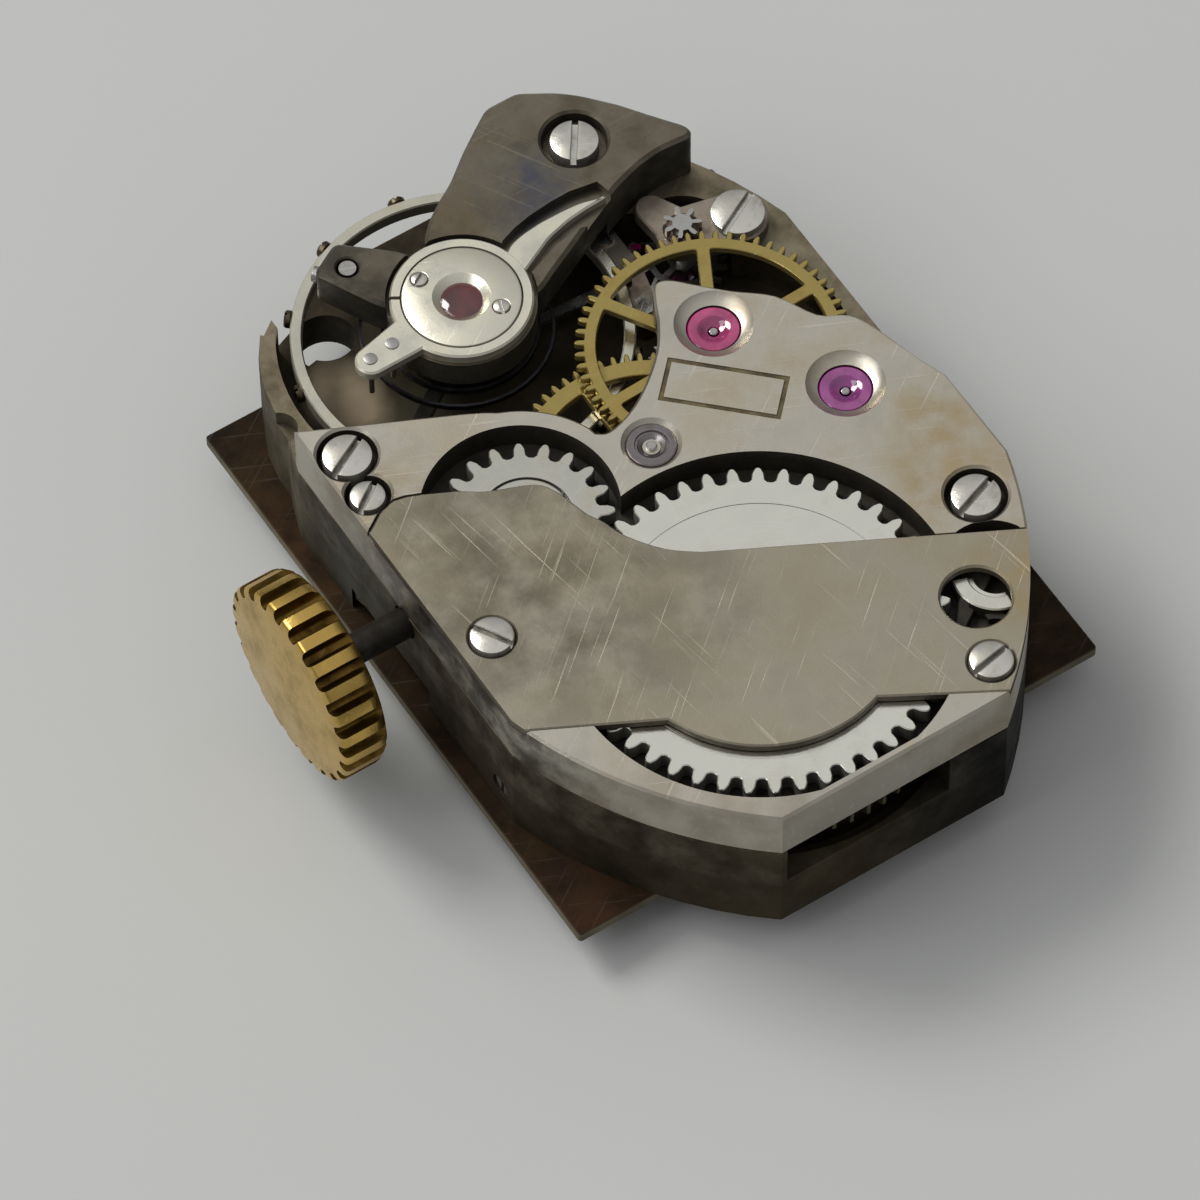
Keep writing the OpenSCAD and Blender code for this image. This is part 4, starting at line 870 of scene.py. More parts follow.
DULL_BRASS = Metal("dull_brass", (0.14, 0.115, 0.07), (0.05, 0.04, 0.025), stained=0.5, stain_size=0.4,
                   dirty=0.4, rough=0.4, scratched=0.3)
RIM_NICKEL = Metal("rim_nickel", (0.72, 0.69, 0.57), (0.50, 0.46, 0.34), stained=0.4, stain_size=0.8,
                   dirty=0.2, rough=0.28, scratched=0.3, walls=0.8, wall_colour=(0.12, 0.10, 0.06))
SCREW_BRASS = Metal("screw_brass", (0.11, 0.09, 0.055), (0.05, 0.04, 0.025), stained=0.5,
                    stain_size=0.2, dirty=0.4, rough=0.36, scratched=0.2)
CROWN_GOLD = Metal("crown_gold", (0.62, 0.41, 0.11), (0.42, 0.28, 0.075), stained=0.42,
                   stain_size=0.7, dirty=0.14, rough=0.3, rough_swing=0.1, scratched=0.6)
# Dark brown of the flutes' side walls: painted shade with dirt.
CROWN_FLUTE_SHADE_AND_DIRT = Metal("crown_flute_shade_and_dirt", (0.16, 0.095, 0.02), (0.05, 0.028, 0.008), stained=0.5,
                     stain_size=0.4, dirty=0.4, rough=0.35, scratched=0.3)
SPRING_STEEL = Metal("spring_steel", (0.035, 0.035, 0.04), (0.015, 0.015, 0.018), rough=0.45,
                     stained=0.3, stain_size=0.4, dirty=0.05, scratched=0.1)
DIAL_BROWN = Metal("dial_brown", (0.038, 0.021, 0.008), (0.012, 0.007, 0.003), (0.006, 0.004, 0.002),
                   stained=0.62, stain_size=1.0, dirty=0.45, rough=0.5, scratched=0.3, grain=0.6,
                   metallic=0.3, shine=0.12, walls=0.8, wall_colour=(0.26, 0.23, 0.16),
                   spots=(Spot((-5.3, 3.4), 1.6, (0.075, 0.034, 0.014), 0.5),
                          Spot((-4.9, -5.6), 1.6, (0.05, 0.022, 0.012), 0.6)))
RUBY_GLOW = Jewel("ruby_glow", (0.52, 0.06, 0.20), (0.34, 0.03, 0.12), 0.15)
VIOLET_GLOW = Jewel("violet_glow", (0.34, 0.07, 0.26), (0.22, 0.03, 0.17), 0.15)
RUBY = Jewel("ruby", (0.50, 0.015, 0.16), (0.25, 0.008, 0.10))
VIOLET_RUBY = Jewel("violet_ruby", (0.36, 0.02, 0.26), (0.17, 0.008, 0.14))
GARNET = Jewel("garnet", (0.20, 0.03, 0.03), (0.10, 0.02, 0.02), 0.5)
ROSE_STONE = Jewel("rose_stone", (0.50, 0.33, 0.28), (0.36, 0.2, 0.17))


# Layout


@dataclass(frozen=True)
class Layout:
    """Levels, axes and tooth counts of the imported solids, as the sub-assemblies share them."""

    dial_top_z: float = 0.35
    seam_z: float = 2.55
    top_z: float = 3.70
    recess_z: float = 3.10
    cover_z: float = 3.53
    regulator_z: float = 3.50
    cock_under_z: float = 2.92
    bridge_seat_z: float = 3.3
    cover_seat_z: float = 3.6
    cock_seat_z: float = 3.34
    lever_seat_z: float = 3.2
    escape_top_z: float = 2.86
    jewel_low_z: float = 3.24
    jewel_r: float = 0.5
    half_w: float = 5.2
    half_l: float = 7.8
    corner_r: float = 8.5
    corner_at: Point = (2.96, 1.17)
    ratchet_at: Point = (-0.46, -4.2)
    crown_wheel_at: Point = (-2.62, 0.0)
    third_at: Point = (3.59, -0.81)
    fourth_at: Point = (2.33, 1.55)
    escape_at: Point = (3.31, 4.08)
    balance_at: Point = (-1.13, 4.5)
    stud_at: Point = (-2.5, 6.17)
    escape_screw_at: Point = (4.32, 3.79)
    bridge_screw_a: Point = (-4.64, 2.74)
    bridge_screw_b: Point = (4.21, -4.03)
    cover_screw_a: Point = (-4.55, -1.9)
    cover_screw_b: Point = (2.47, -7.07)
    cock_screw_at: Point = (2.44, 6.33)
    lever_screw_at: Point = (-4.78, 1.83)
    click_at: Point = (3.55, -5.1)
    end_screws: tuple[Point, Point] = ((-1.57, 5.23), (-0.65, 3.93))
    stem_z: float = 2.25
    winding_low_z: float = 3.15
    winding_top_z: float = 3.50
    winding_module: float = 0.1453
    ratchet_teeth: int = 45
    crown_wheel_teeth: int = 20
    crown_wheel_phase: float = 189.0
    balance_clear_r: float = 3.38
    centre_teeth: int = 64
    centre_leaves: int = 16
    barrel_teeth: int = 64
    third_teeth: int = 38
    fourth_teeth: int = 60
    escape_leaves: int = 7
    pinion_leaves: int = 30

    def plate_outline(self, inset: float = 0.0) -> Loop:
        """The shaped outline, drawn in from its edge by inset."""
        across, along, r = self.half_w - inset, self.half_l - inset, self.corner_r - inset
        cx, cy = self.corner_at
        first = math.degrees(math.acos((across + cx) / r))
        last = math.degrees(math.asin((along - cy) / r))
        corner = arc((-cx, cy), r, first, last, 24)
        left = [(-x, y) for x, y in reversed(corner)]
        return corner + left + [(-x, -y) for x, y in corner] + [(-x, -y) for x, y in left]


AT = Layout()


class Mark(Enum):
    """How a screw's head is finished: the width of its rim's bevel."""

    FLAT = 0.03
    DOMED = 0.06


@dataclass(frozen=True)
class Screw:
    """A slotted screw.

    Attributes:
        at: its axis.
        head_r: radius of its head.
        head_z: height of the head's under face.
        top: height of the head's upper face.
        shank_r: radius of its shank.
        foot: height of the shank's end.
        turn: direction of its slot, in degrees.
        slot_w: width of the slot.
        slot_d: depth of the slot.
        mark: how its rim is finished.
    """

    at: Point
    head_r: float
    head_z: float
    top: float
    shank_r: float
    foot: float
    turn: float
    slot_w: float = 0.11
    slot_d: float = 0.16
    mark: Mark = Mark.FLAT

    def form(self) -> Form:
        """Head with a bevelled rim and a sharp slot, on its shank."""
        rim = self.mark.value
        r = self.head_r
        head = Form.spun([(0, self.foot), (self.shank_r, self.foot), (self.shank_r, self.head_z),
                            (r, self.head_z), (r, self.top - rim), (r - rim * 0.35, self.top - rim * 0.3),
                            (r - rim, self.top), (0, self.top + 0.1 * rim)], steps=56)
        slot = turned_box((0, 0), r * 2.6, self.slot_w, 0)
        mouth = turned_box((0, 0), r * 2.6, self.slot_w + 0.028, 0)
        cutters = (Form.slab(slot, self.top - self.slot_d, self.top, rim=-0.015),
                   Form.slab(mouth, self.top - 0.004, self.top + 0.2))
        head.cut(*[cutter.turned_by(self.turn) for cutter in cutters])
        return head.moved(self.at)


def sink(at: Point, radius: float, floor: float, flare: float = 0.05, top: float = AT.top_z) -> Form:
    """Cutter for a turned hole whose mouth is bevelled.

    Args:
        at: its axis.
        radius: radius of the hole.
        floor: height of its floor.
        flare: width of the bevel.
        top: height of the face that it opens in.

    Returns:
        The closed form, which reaches above that face.
    """
    return Form.spun([(0, floor), (radius - 0.03, floor), (radius, floor + 0.03),
                        (radius, top - flare), (radius + flare, top), (radius + flare, top + 0.4),
                        (0, top + 0.4)], at, 72)


# Sub-assemblies


@dataclass
class Bridges:
    """Train bridge, with its recesses, and the cover over the winding wheels."""

    edge: float = 0.05
    wall: float = 0.14
    seat_swell: float = 1.0075
    finger: list[Point] = field(default_factory=lambda: [
        (-0.7, 0.73), (-0.47, 0.63), (0.07, 0.8), (0.6, 1.13), (1.13, 1.6), (1.47, 2.07),
        (1.73, 2.6), (1.93, 2.87), (2.2, 2.8), (2.53, 2.47), (3.0, 2.0), (3.6, 1.47), (4.0, 0.73),
        (4.47, 0.4), (4.73, -0.13), (5.07, -1.27), (5.6, -2.6)])
    ring_at: Point = (-2.7, 0.08)
    ring_r: float = 2.13
    crown_well_r: float = 1.79
    ratchet_well_r: float = 3.6
    click_bay_at: Point = (3.62, -5.42)
    click_bay_r: float = 0.93
    click_screw_at: Point = (3.0, -5.82)
    spring_bend: Point = (2.6, -6.3)
    spring_end: Point = (3.25, -6.3)
    # Faces this near an outline, below the recess floors, keep the bridge's finish instead of the painted
    # shade and dirt.
    edge_free_of_shade_and_dirt: float = 0.45
    cartouche_at: Point = (1.72, 0.28)
    cartouche_turn: float = -44.0

    def opening(self) -> Loop:
        """Edge of the bridge over the balance, the pinions' ring and the finger."""
        left = [(-6, 4.15), (-5.1, 3.65), (-2.5, 2.4), (-1.93, 2.07)]
        ring = arc(self.ring_at, self.ring_r, 62, 22, 14)
        return (smooth(left, 3) + ring + smooth(self.finger, 4) + [(9, -2.6), (9, 9), (-6, 9)])

    def cover_plan(self, swell: float = 1.0) -> Loop:
        """Plan of the cover, its upper edge waved round the crown wheel.

        Args:
            swell: how much larger it is drawn, about its middle.

        Returns:
            Points in order.
        """
        top = smooth([(-5.15, 1.15), (-4.47, 1.47), (-3.5, 1.07), (-3.0, 0.75), (-2.2, 0.4),
                      (-1.95, 0.05), (-1.85, -0.3), (-1.75, -0.65), (-1.6, -0.93), (-1.43, -1.4),
                      (-1.0, -2.0), (-0.5, -2.4)], 4)
        under = [(2.53, -7.83), (0.7, -6.77)] + arc(AT.ratchet_at, 2.55, -70, -157, 22)
        side = [(-2.9, -5.0), (-5.0, -3.9), (-5.6, -3.6), (-5.6, 1.0)]
        plan = top + [(3.0, -4.27), (6, -5.87), (6, -9.7)] + under + side
        cx, cy = (sum(point[k] for point in plan) / len(plan) for k in (0, 1))
        return [(cx + swell * (x - cx), cy + swell * (y - cy)) for x, y in plan]

    def _by_edge(self, at: Vector) -> bool:
        """Whether a point lies within 0.1 mm of the plate's outline, or past it."""
        loop = AT.plate_outline(0.1)
        inside = False
        for (x0, y0), (x1, y1) in zip(loop, loop[1:] + loop[:1]):
            if (y0 > at.y) != (y1 > at.y) and at.x < x0 + (at.y - y0) * (x1 - x0) / (y1 - y0):
                inside = not inside
        return not inside

    def _dark(self, at: Vector, normal: Vector) -> bool:
        """Whether a face takes painted shade with dirt: the recesses' floors and walls, and the floors of the
        sinks.
        """
        near = min(math.dist((at.x, at.y), p) for p in AT.plate_outline() + self.opening())
        outer = near < self.edge_free_of_shade_and_dirt and at.z < AT.recess_z - 0.01
        sunk = at.z < AT.cover_z + 0.03 and (normal.z > 0.5 or at.z > AT.recess_z + 0.01)
        return sunk and not outer and not self._by_edge(at)

    def _wells(self) -> Form:
        """Cutter for the recesses of the winding wheels, the click and its spring."""
        plans = (circle(AT.ratchet_at, self.ratchet_well_r, 160), circle(self.ring_at, self.crown_well_r, 96),
                 circle(self.click_bay_at, self.click_bay_r, 72),
                 link(AT.click_at, self.spring_bend, 0.42, 0.5),
                 link(self.spring_bend, self.spring_end, 0.5, 0.62))
        well, *bays = (Form.slab(plan, AT.recess_z, AT.top_z + 0.3) for plan in plans)
        well.fuse(*bays)
        return well.keep(Form.slab(AT.plate_outline(self.wall), AT.recess_z - 0.5, AT.top_z + 0.6))

    def _sinks(self) -> list[Form]:
        """Cutters for the heads of the screws, the centre's bush and the jewels."""
        sinks = [sink(AT.bridge_screw_a, 0.55, AT.bridge_seat_z),
                 sink(AT.bridge_screw_b, 0.57, AT.bridge_seat_z),
                 sink(AT.lever_screw_at, 0.42, AT.lever_seat_z), sink((0, 0), 0.47, 3.58, 0.08)]
        cup = [(0, AT.jewel_low_z), (AT.jewel_r, AT.jewel_low_z), (AT.jewel_r, 3.55), (0.62, 3.6),
               (0.72, 3.70), (0.72, 4.0), (0, 4.0)]
        return sinks + [Form.spun(cup, at, 72) for at in (AT.third_at, AT.fourth_at)]

    def _under(self) -> list[Form]:
        """Cutters that clear the wheels and the balance from below."""
        spaces = (((0, 0), 2.72, 96, 2.88), (AT.third_at, 1.36, 72, 2.91), (AT.fourth_at, 2.6, 96, 3.14),
                  (AT.balance_at, AT.balance_clear_r, 128, 2.65))
        return [Form.slab(circle(at, r, count), 2.3, roof) for at, r, count, roof in spaces]

    def _frame(self, low: float, high: float) -> Form:
        """The cartouche's line, between two heights."""
        line, middle = (turned_box(self.cartouche_at, wide, deep, self.cartouche_turn)
                        for wide, deep in ((2.22, 0.94), (2.04, 0.76)))
        return Form.slab(line, low, high, holes=[middle])

    def train_bridge(self) -> None:
        """The three-quarter bridge with its recesses, sinks and cartouche."""
        form = Form.slab(AT.plate_outline(), AT.seam_z, AT.top_z, rim=self.edge, foot=0.05)
        opening = Form.slab(self.opening(), AT.seam_z - 0.3, AT.top_z, rim=-self.edge)
        # The flared opening ends level with the top face, so the roof cuts on through it.
        roof = Form.slab(self.opening(), AT.top_z - 0.001, AT.top_z + 0.5)
        form.cut(opening, roof).cut(self._wells())
        form.cut(Form.slab(self.cover_plan(self.seat_swell), AT.cover_z, AT.top_z + 0.3))
        form.cut(*self._sinks()).cut(*self._under()).cut(self._frame(AT.top_z - 0.03, AT.top_z + 0.3))
        self._frame(AT.top_z - 0.04, AT.top_z - 0.02).piece("cartouche_line", ENGRAVED, "root", [],
                                                            "bridge_nickel")
        # Recess floors and walls and sink floors take the near-black painted shade with dirt.
        form.tell(self._dark)
        form.piece("train_bridge_plate", BRIDGE_NICKEL, "root", ["train_bridge"], "bridge_nickel",
                   second=RECESS_SHADE_AND_DIRT)

    def cover(self) -> None:
        """The steel cover over the winding wheels."""
        form = Form.slab(self.cover_plan(), AT.cover_z, AT.top_z, rim=0.03)
        form.keep(Form.slab(AT.plate_outline(0.01), 3.0, AT.top_z + 0.5))
        form.cut(sink(self.click_screw_at, 0.63, 3.3, 0.04),
                 sink(AT.lever_screw_at, 0.43, AT.lever_seat_z, 0.03))
        form.cut(*[sink(at, 0.43, AT.cover_seat_z, 0.03) for at in (AT.cover_screw_a, AT.cover_screw_b)])
        form.piece("cover_plate_steel", COVER_NICKEL, "root", ["cover_plate"], "cover_nickel")

    def build(self) -> None:
        """Makes the bridge and its cover."""
        self.train_bridge()
        self.cover()


@dataclass
class BalanceCock:
    """The cock over the balance, with its regulator, end piece and jewels."""

    lobe_r: float = 1.36
    ring_r: float = 1.30
    end_r: float = 1.09
    slit_turn: float = 148.0
    pointer_swing: float = 6.0
    edge: list[Point] = field(default_factory=lambda: [
        (1.47, 7.8), (2.13, 7.8), (2.73, 7.43), (3.07, 7.13), (3.53, 6.6), (4.0, 5.93), (4.3, 5.53),
        (4.33, 5.35), (4.24, 5.24), (4.0, 5.27), (3.6, 5.3), (3.13, 5.23), (2.6, 5.07), (2.27, 4.93),
        (1.73, 4.67), (1.07, 4.33), (0.53, 4.07), (0.17, 3.87), (-0.6, 3.9), (-1.7, 4.3),
        (-2.1, 4.8), (-2.47, 5.2), (-3.07, 6.4), (-2.4, 6.77), (-1.53, 6.0), (-1.2, 5.5),
        (-1.0, 5.97), (-0.7, 6.27), (-0.33, 6.53), (0.07, 6.77), (0.6, 7.2), (1.07, 7.53)])
    tail: list[Point] = field(default_factory=lambda: [
        (-0.1, 4.75), (0.2, 5.0), (0.55, 5.09), (0.93, 5.13), (1.4, 5.13), (1.8, 5.1), (2.3, 4.95),
        (1.85, 4.93), (1.4, 4.88), (0.9, 4.75), (0.5, 4.55), (0.1, 4.35)])
    curb_pins: tuple[Point, Point] = ((-3.21, 4.25), (-2.71, 4.32))

    def swept_tail(self, swing: float) -> Loop:
        """Groove that the pointer needs to swing to each side by an angle in degrees."""
        tip = self.tail.index(max(self.tail))
        far = (self.tail[tip][0] + 0.04, self.tail[tip][1])
        upper = [turned(p, AT.balance_at, swing) for p in self.tail[:tip]]
        lower = [turned(p, AT.balance_at, -swing) for p in self.tail[tip + 1:]]
        sweep = [turned(far, AT.balance_at, swing * (1 - i / 4)) for i in range(9)]
        return upper + sweep + lower

    def cock(self) -> None:
        """A foot and table, undercut over the balance."""
        form = Form.slab(rounded(self.edge, 0.14), AT.seam_z, AT.top_z, rim=0.07)
        lobe = Form.slab(circle(AT.balance_at, self.lobe_r, 96), AT.cock_under_z, AT.top_z, rim=0.05)
        form.fuse(lobe)
        form.cut(Form.slab(circle(AT.balance_at, AT.balance_clear_r, 128), AT.seam_z - 0.2, AT.cock_under_z))
        form.cut(Form.slab(circle(AT.balance_at, self.lobe_r + 0.01, 96), AT.regulator_z, AT.top_z + 0.3),
                 Form.slab(circle(AT.balance_at, 0.5, 48), 2.5, 3.9),
                 sink(AT.cock_screw_at, 0.61, AT.cock_seat_z, 0.05), sink(AT.stud_at, 0.21, 2.4, 0.03))
        form.cut(Form.slab(self.swept_tail(self.pointer_swing), AT.regulator_z, AT.top_z + 0.3))
        form.piece("balance_cock_table", COCK_GREY, "root", ["balance_cock"], "cock_grey")

    def regulator(self) -> None:
        """Split ring with a pointer and the curb pins' arm."""
        ring = Form.slab(circle(AT.balance_at, self.ring_r, 128), AT.regulator_z, AT.top_z, rim=0.035)
        arm = link(polar(1.0, 188, AT.balance_at), (-3.2, 4.23), 0.42, 0.3)
        ring.fuse(Form.slab(rounded(self.tail, 0.12), AT.regulator_z, AT.top_z - 0.01, rim=0.035),
                  Form.slab(arm, AT.regulator_z, AT.top_z - 0.002, rim=0.035))
        gap = turned_box(polar(1.225, self.slit_turn, AT.balance_at), 0.55, 0.07, self.slit_turn)
        slit = Form.slab(gap, AT.regulator_z - 0.1, AT.top_z + 0.1)
        ring.cut(Form.slab(circle(AT.balance_at, self.end_r + 0.02, 96), AT.regulator_z - 0.1,
                           AT.top_z + 0.1), slit)
        ring.piece("regulator_ring", REGULATOR_STEEL, "regulator", ["regulator"], "bright_steel")
        pins = Form()
        for at in self.curb_pins:
            pins.join(Form.spun([(0, 2.68), (0.05, 2.68), (0.05, AT.top_z), (0.13, AT.top_z),
                                   (0.12, AT.top_z + 0.02), (0.07, AT.top_z + 0.03),
                                   (0, AT.top_z + 0.03)], at, 32))
        pins.piece("curb_pins", STEEL, "regulator", ["regulator"], "bright_steel")

    def end_piece(self) -> None:
        """Steel disc that holds the cap jewel."""
        low, top = AT.regulator_z, AT.top_z + 0.02
        form = Form.spun([(0.38, low), (self.end_r, low), (self.end_r, top - 0.05),
                            (self.end_r - 0.02, top - 0.015), (self.end_r - 0.06, top), (0.53, top),
                            (0.5, top - 0.02), (0.38, top - 0.12)], AT.balance_at, 96)
        form.cut(*[Form.spun([(0, top - 0.1), (0.165, top - 0.1), (0.165, top - 0.01),
                                (0.18, top), (0.18, top + 0.2), (0, top + 0.2)], at, 36)
                   for at in AT.end_screws])
        form.piece("end_piece_disc", REGULATOR_STEEL, "root", ["end_piece"], "bright_steel")

    def jewels(self) -> None:
        """Domed cap jewel and hole jewels of the balance."""
        stones = Form.spun([(0, 3.52), (0.36, 3.52), (0.38, 3.54), (0.38, 3.60), (0.34, 3.625),
                            (0.2, 3.645), (0, 3.65)], AT.balance_at, 48)
        for low, r in ((3.02, 0.5), (1.22, 0.42)):
            stones.join(Form.spun([(0.075, low), (r, low), (r, low + 0.2), (0.2, low + 0.2),
                                  (0.075, low + 0.12)], AT.balance_at, 48))
        stones.join(Form.spun([(0, 0.94), (0.42, 0.94), (0.42, 1.1), (0, 1.1)], AT.balance_at, 48))
        stones.piece("balance_jewel_stones", GARNET, "root", ["balance_jewels"], "garnet")

    def build(self) -> None:
        """Makes the cock and all that it carries."""
        self.cock()
        self.regulator()
        self.end_piece()
        self.jewels()


class Settings:
    """Jewels of the train, the escape cock and the centre bush."""

    def jewels(self) -> None:
        """Cupped hole jewels, each with a pivot in it."""
        top = 3.54
        low, r = AT.jewel_low_z, AT.jewel_r
        profile = [(0.11, low), (r, low), (r, top - 0.04), (0.46, top - 0.005), (0.34, top),
                   (0.29, top - 0.01), (0.22, top - 0.05), (0.15, top - 0.09), (0.11, top - 0.1)]
        for at, name, stone, glow in ((AT.third_at, "jewel_third", VIOLET_RUBY, VIOLET_GLOW),
                                      (AT.fourth_at, "jewel_fourth", RUBY, RUBY_GLOW)):
            form = Form.spun(profile, steps=56)
            form.tell(lambda middle, normal: normal.z > 0.3 and 0.3 < math.hypot(middle.x, middle.y) < 0.45)
            form.moved(at).piece(name, stone, "root", ["upper_jewels"], "ruby", second=glow)
        escape = Form.spun([(0.11, 2.55), (0.3, 2.55), (0.3, 2.84), (0.26, 2.86), (0.2, 2.86),
                              (0.11, 2.8)], AT.escape_at, 40)
        escape.piece("jewel_escape", ROSE_STONE, "root", ["upper_jewels"], "ruby")

    def bush(self) -> None:
        """Steel bush of the centre arbor, turned with a groove."""
        top = AT.top_z - 0.05
        Form.spun([(0.13, 2.89), (0.22, 2.89), (0.22, 3.16), (0.45, 3.16), (0.45, top - 0.02),
                     (0.43, top), (0.31, top), (0.295, top - 0.03), (0.265, top - 0.03),
                     (0.25, top - 0.005), (0.18, top - 0.05), (0.13, top - 0.1)], steps=56).piece(
            "centre_bush_ring", BUSH_STEEL, "root", ["centre_bush"], "steel")

    def escape_cock(self) -> None:
        """Low cock over the escape pinion, with a foot beside it."""
        low, top = AT.seam_z, AT.escape_top_z
        form = Form.slab(link(AT.escape_at, AT.escape_screw_at, 0.5, 0.56), low, top, rim=0.03)
        form.fuse(Form.slab(link(AT.escape_at, (3.1, 4.8), 0.45, 0.3), low, top - 0.004, rim=0.03))
        form.cut(sink(AT.escape_at, 0.31, 2.4, 0.05, top),
                 Form.slab(circle(AT.escape_screw_at, 0.11), 2.4, 3))
        form.piece("escape_cock_bridge", ESCAPE_NICKEL, "root", ["escape_cock"], "bridge_nickel")

    def build(self) -> None:
        """Makes the settings."""
        self.jewels()
        self.bush()
        self.escape_cock()


@dataclass
class Winding:
    """Crown, stem, winding wheels and click."""

    flutes: int = 24
    crown_foot: float = -6.65
    flank_r: float = 1.915

    def crown(self) -> None:
        """Fluted crown whose grooves break through both faces."""
        profile = [(0, 0), (0.32, 0), (0.34, 0.02), (1.68, 0.0), (1.82, 0.06), (1.91, 0.17), (1.93, 0.27),
                   (1.93, 0.87), (self.flank_r, 0.93), (1.87, 0.965), (1.8, 0.98), (1.3, 1.015), (0.8, 1.045),
                   (0, 1.07)]
        form = Form.spun(profile, steps=96)
        step = 360 / self.flutes
        plan = [(1.74, 1.8), (1.76, 2.6), (1.84, 3.6), (1.96, 4.5), (2.1, 5.0)]
        cutter = Form()
        for i in range(self.flutes):
            a = step * (i + 0.5)
            groove = [polar(r, a - w) for r, w in plan] + [polar(r, a + w) for r, w in reversed(plan)]
            cutter.join(Form.slab(groove, -0.1, 1.2))
        form.cut(cutter)
        # The flutes' side walls take the dark brown painted shade with dirt.
        form.tell(lambda at, normal: math.hypot(at.x, at.y) < self.flank_r and abs(normal.z) < 0.3
                  and at.z > 0.03)
        form.turned_by(-90, "Y").moved((self.crown_foot, 0, AT.stem_z))
        form.piece("crown_knob", CROWN_GOLD, "stem", ["crown"], "crown_gold", 40, CROWN_FLUTE_SHADE_AND_DIRT)

    def stem(self) -> None:
        """Round stem with a groove, a square and a pivot."""
        spans = [(0.0, -7.1), (0.29, -7.1), (0.29, -4.73), (0.28, -4.71), (0.17, -4.7), (0.17, -4.4),
                 (0.2, -4.39), (0.22, -4.37), (0.22, -3.06), (0.15, -3.04), (0.15, -2.84), (0.11, -2.8),
                 (0, -2.8)]
        form = Form.spun([(r, -x) for r, x in spans][::-1], steps=40)
        form.turned_by(-90, "Y").moved((0, 0, AT.stem_z))
        # Near-black steel: dirt, with painted shade where the stem lies in the crown's shadow.
        form.piece("winding_stem_rod", DIRTY_SHADED_STEEL, "stem", ["winding_stem"], "steel")

    def ratchet(self) -> None:
        """Ratchet wheel, mirror-polished inside a fine ring."""
        phase = mesh_phase(AT.crown_wheel_phase, AT.crown_wheel_teeth, AT.ratchet_teeth,
                           heading(AT.crown_wheel_at, AT.ratchet_at))
        plan = peg_gear(AT.ratchet_teeth, AT.winding_module, phase)
        form = Form.slab(plan, AT.winding_low_z, AT.winding_top_z, [turned_box((0, 0), 0.5, 0.5, 0)],
                         rim=0.018)
        groove = Form.slab(circle((0, 0), 2.63, 128), 3.488, 3.6, [circle((0, 0), 2.60, 128)])
        form.cut(groove)
        form.moved(AT.ratchet_at).piece("ratchet_disc", RATCHET_STEEL, "ratchet_wheel", ["ratchet_wheel"],
                                        "bright_steel")

    def crown_wheel(self) -> None:
        """Crown wheel and the core that it turns on."""
        plan = peg_gear(AT.crown_wheel_teeth, AT.winding_module, AT.crown_wheel_phase)
        form = Form.slab(plan, AT.winding_low_z, AT.winding_top_z, [circle((0, 0), 0.45, 48)], rim=0.018)
        form.cut(Form.slab(circle((0, 0), 0.84, 64), 3.38, 3.6))
        form.moved(AT.crown_wheel_at).piece("crown_wheel_disc", CROWN_WHEEL_STEEL, "crown_wheel",
                                            ["crown_wheel"], "bright_steel")
        core = Form.spun([(0, 3.10), (0.42, 3.10), (0.42, 3.40), (0.8, 3.40), (0.8, 3.49), (0.77, 3.52),
                            (0, 3.52)], AT.crown_wheel_at, 64)
        core.piece("crown_wheel_hub", CROWN_WHEEL_STEEL, "root", ["crown_wheel_core"], "bright_steel")

    def click(self) -> None:
        """Click: an arm to the ratchet wheel under a raised crescent."""
        nose, middle = polar(3.493, -32, AT.ratchet_at), (3.66, -5.46)
        form = Form.slab(link(AT.click_at, nose, 0.3, 0.07), AT.winding_low_z, 3.3, rim=0.02)
        for inner, outer, top in ((0.5, 0.78, 3.46), (0.4, 0.52, 3.42)):
            crescent = arc(middle, outer, 158, 262, 20) + arc(middle, inner, 262, 158, 20)
            form.fuse(Form.slab(crescent, AT.winding_low_z, top, rim=0.025))
        form.cut(Form.slab(circle(AT.click_at, 0.16, 32), 3.0, 3.6))
        # Faces below the crescent's top take the near-black painted shade with dirt.
        form.tell(lambda at, normal: at.z < 3.36)
        form.piece("click_lever", RATCHET_STEEL, "click", ["click"], "steel", second=RECESS_SHADE_AND_DIRT)

    def build(self) -> None:
        """Makes the winding work."""
        self.crown()
        self.stem()
        self.ratchet()
        self.crown_wheel()
        self.click()


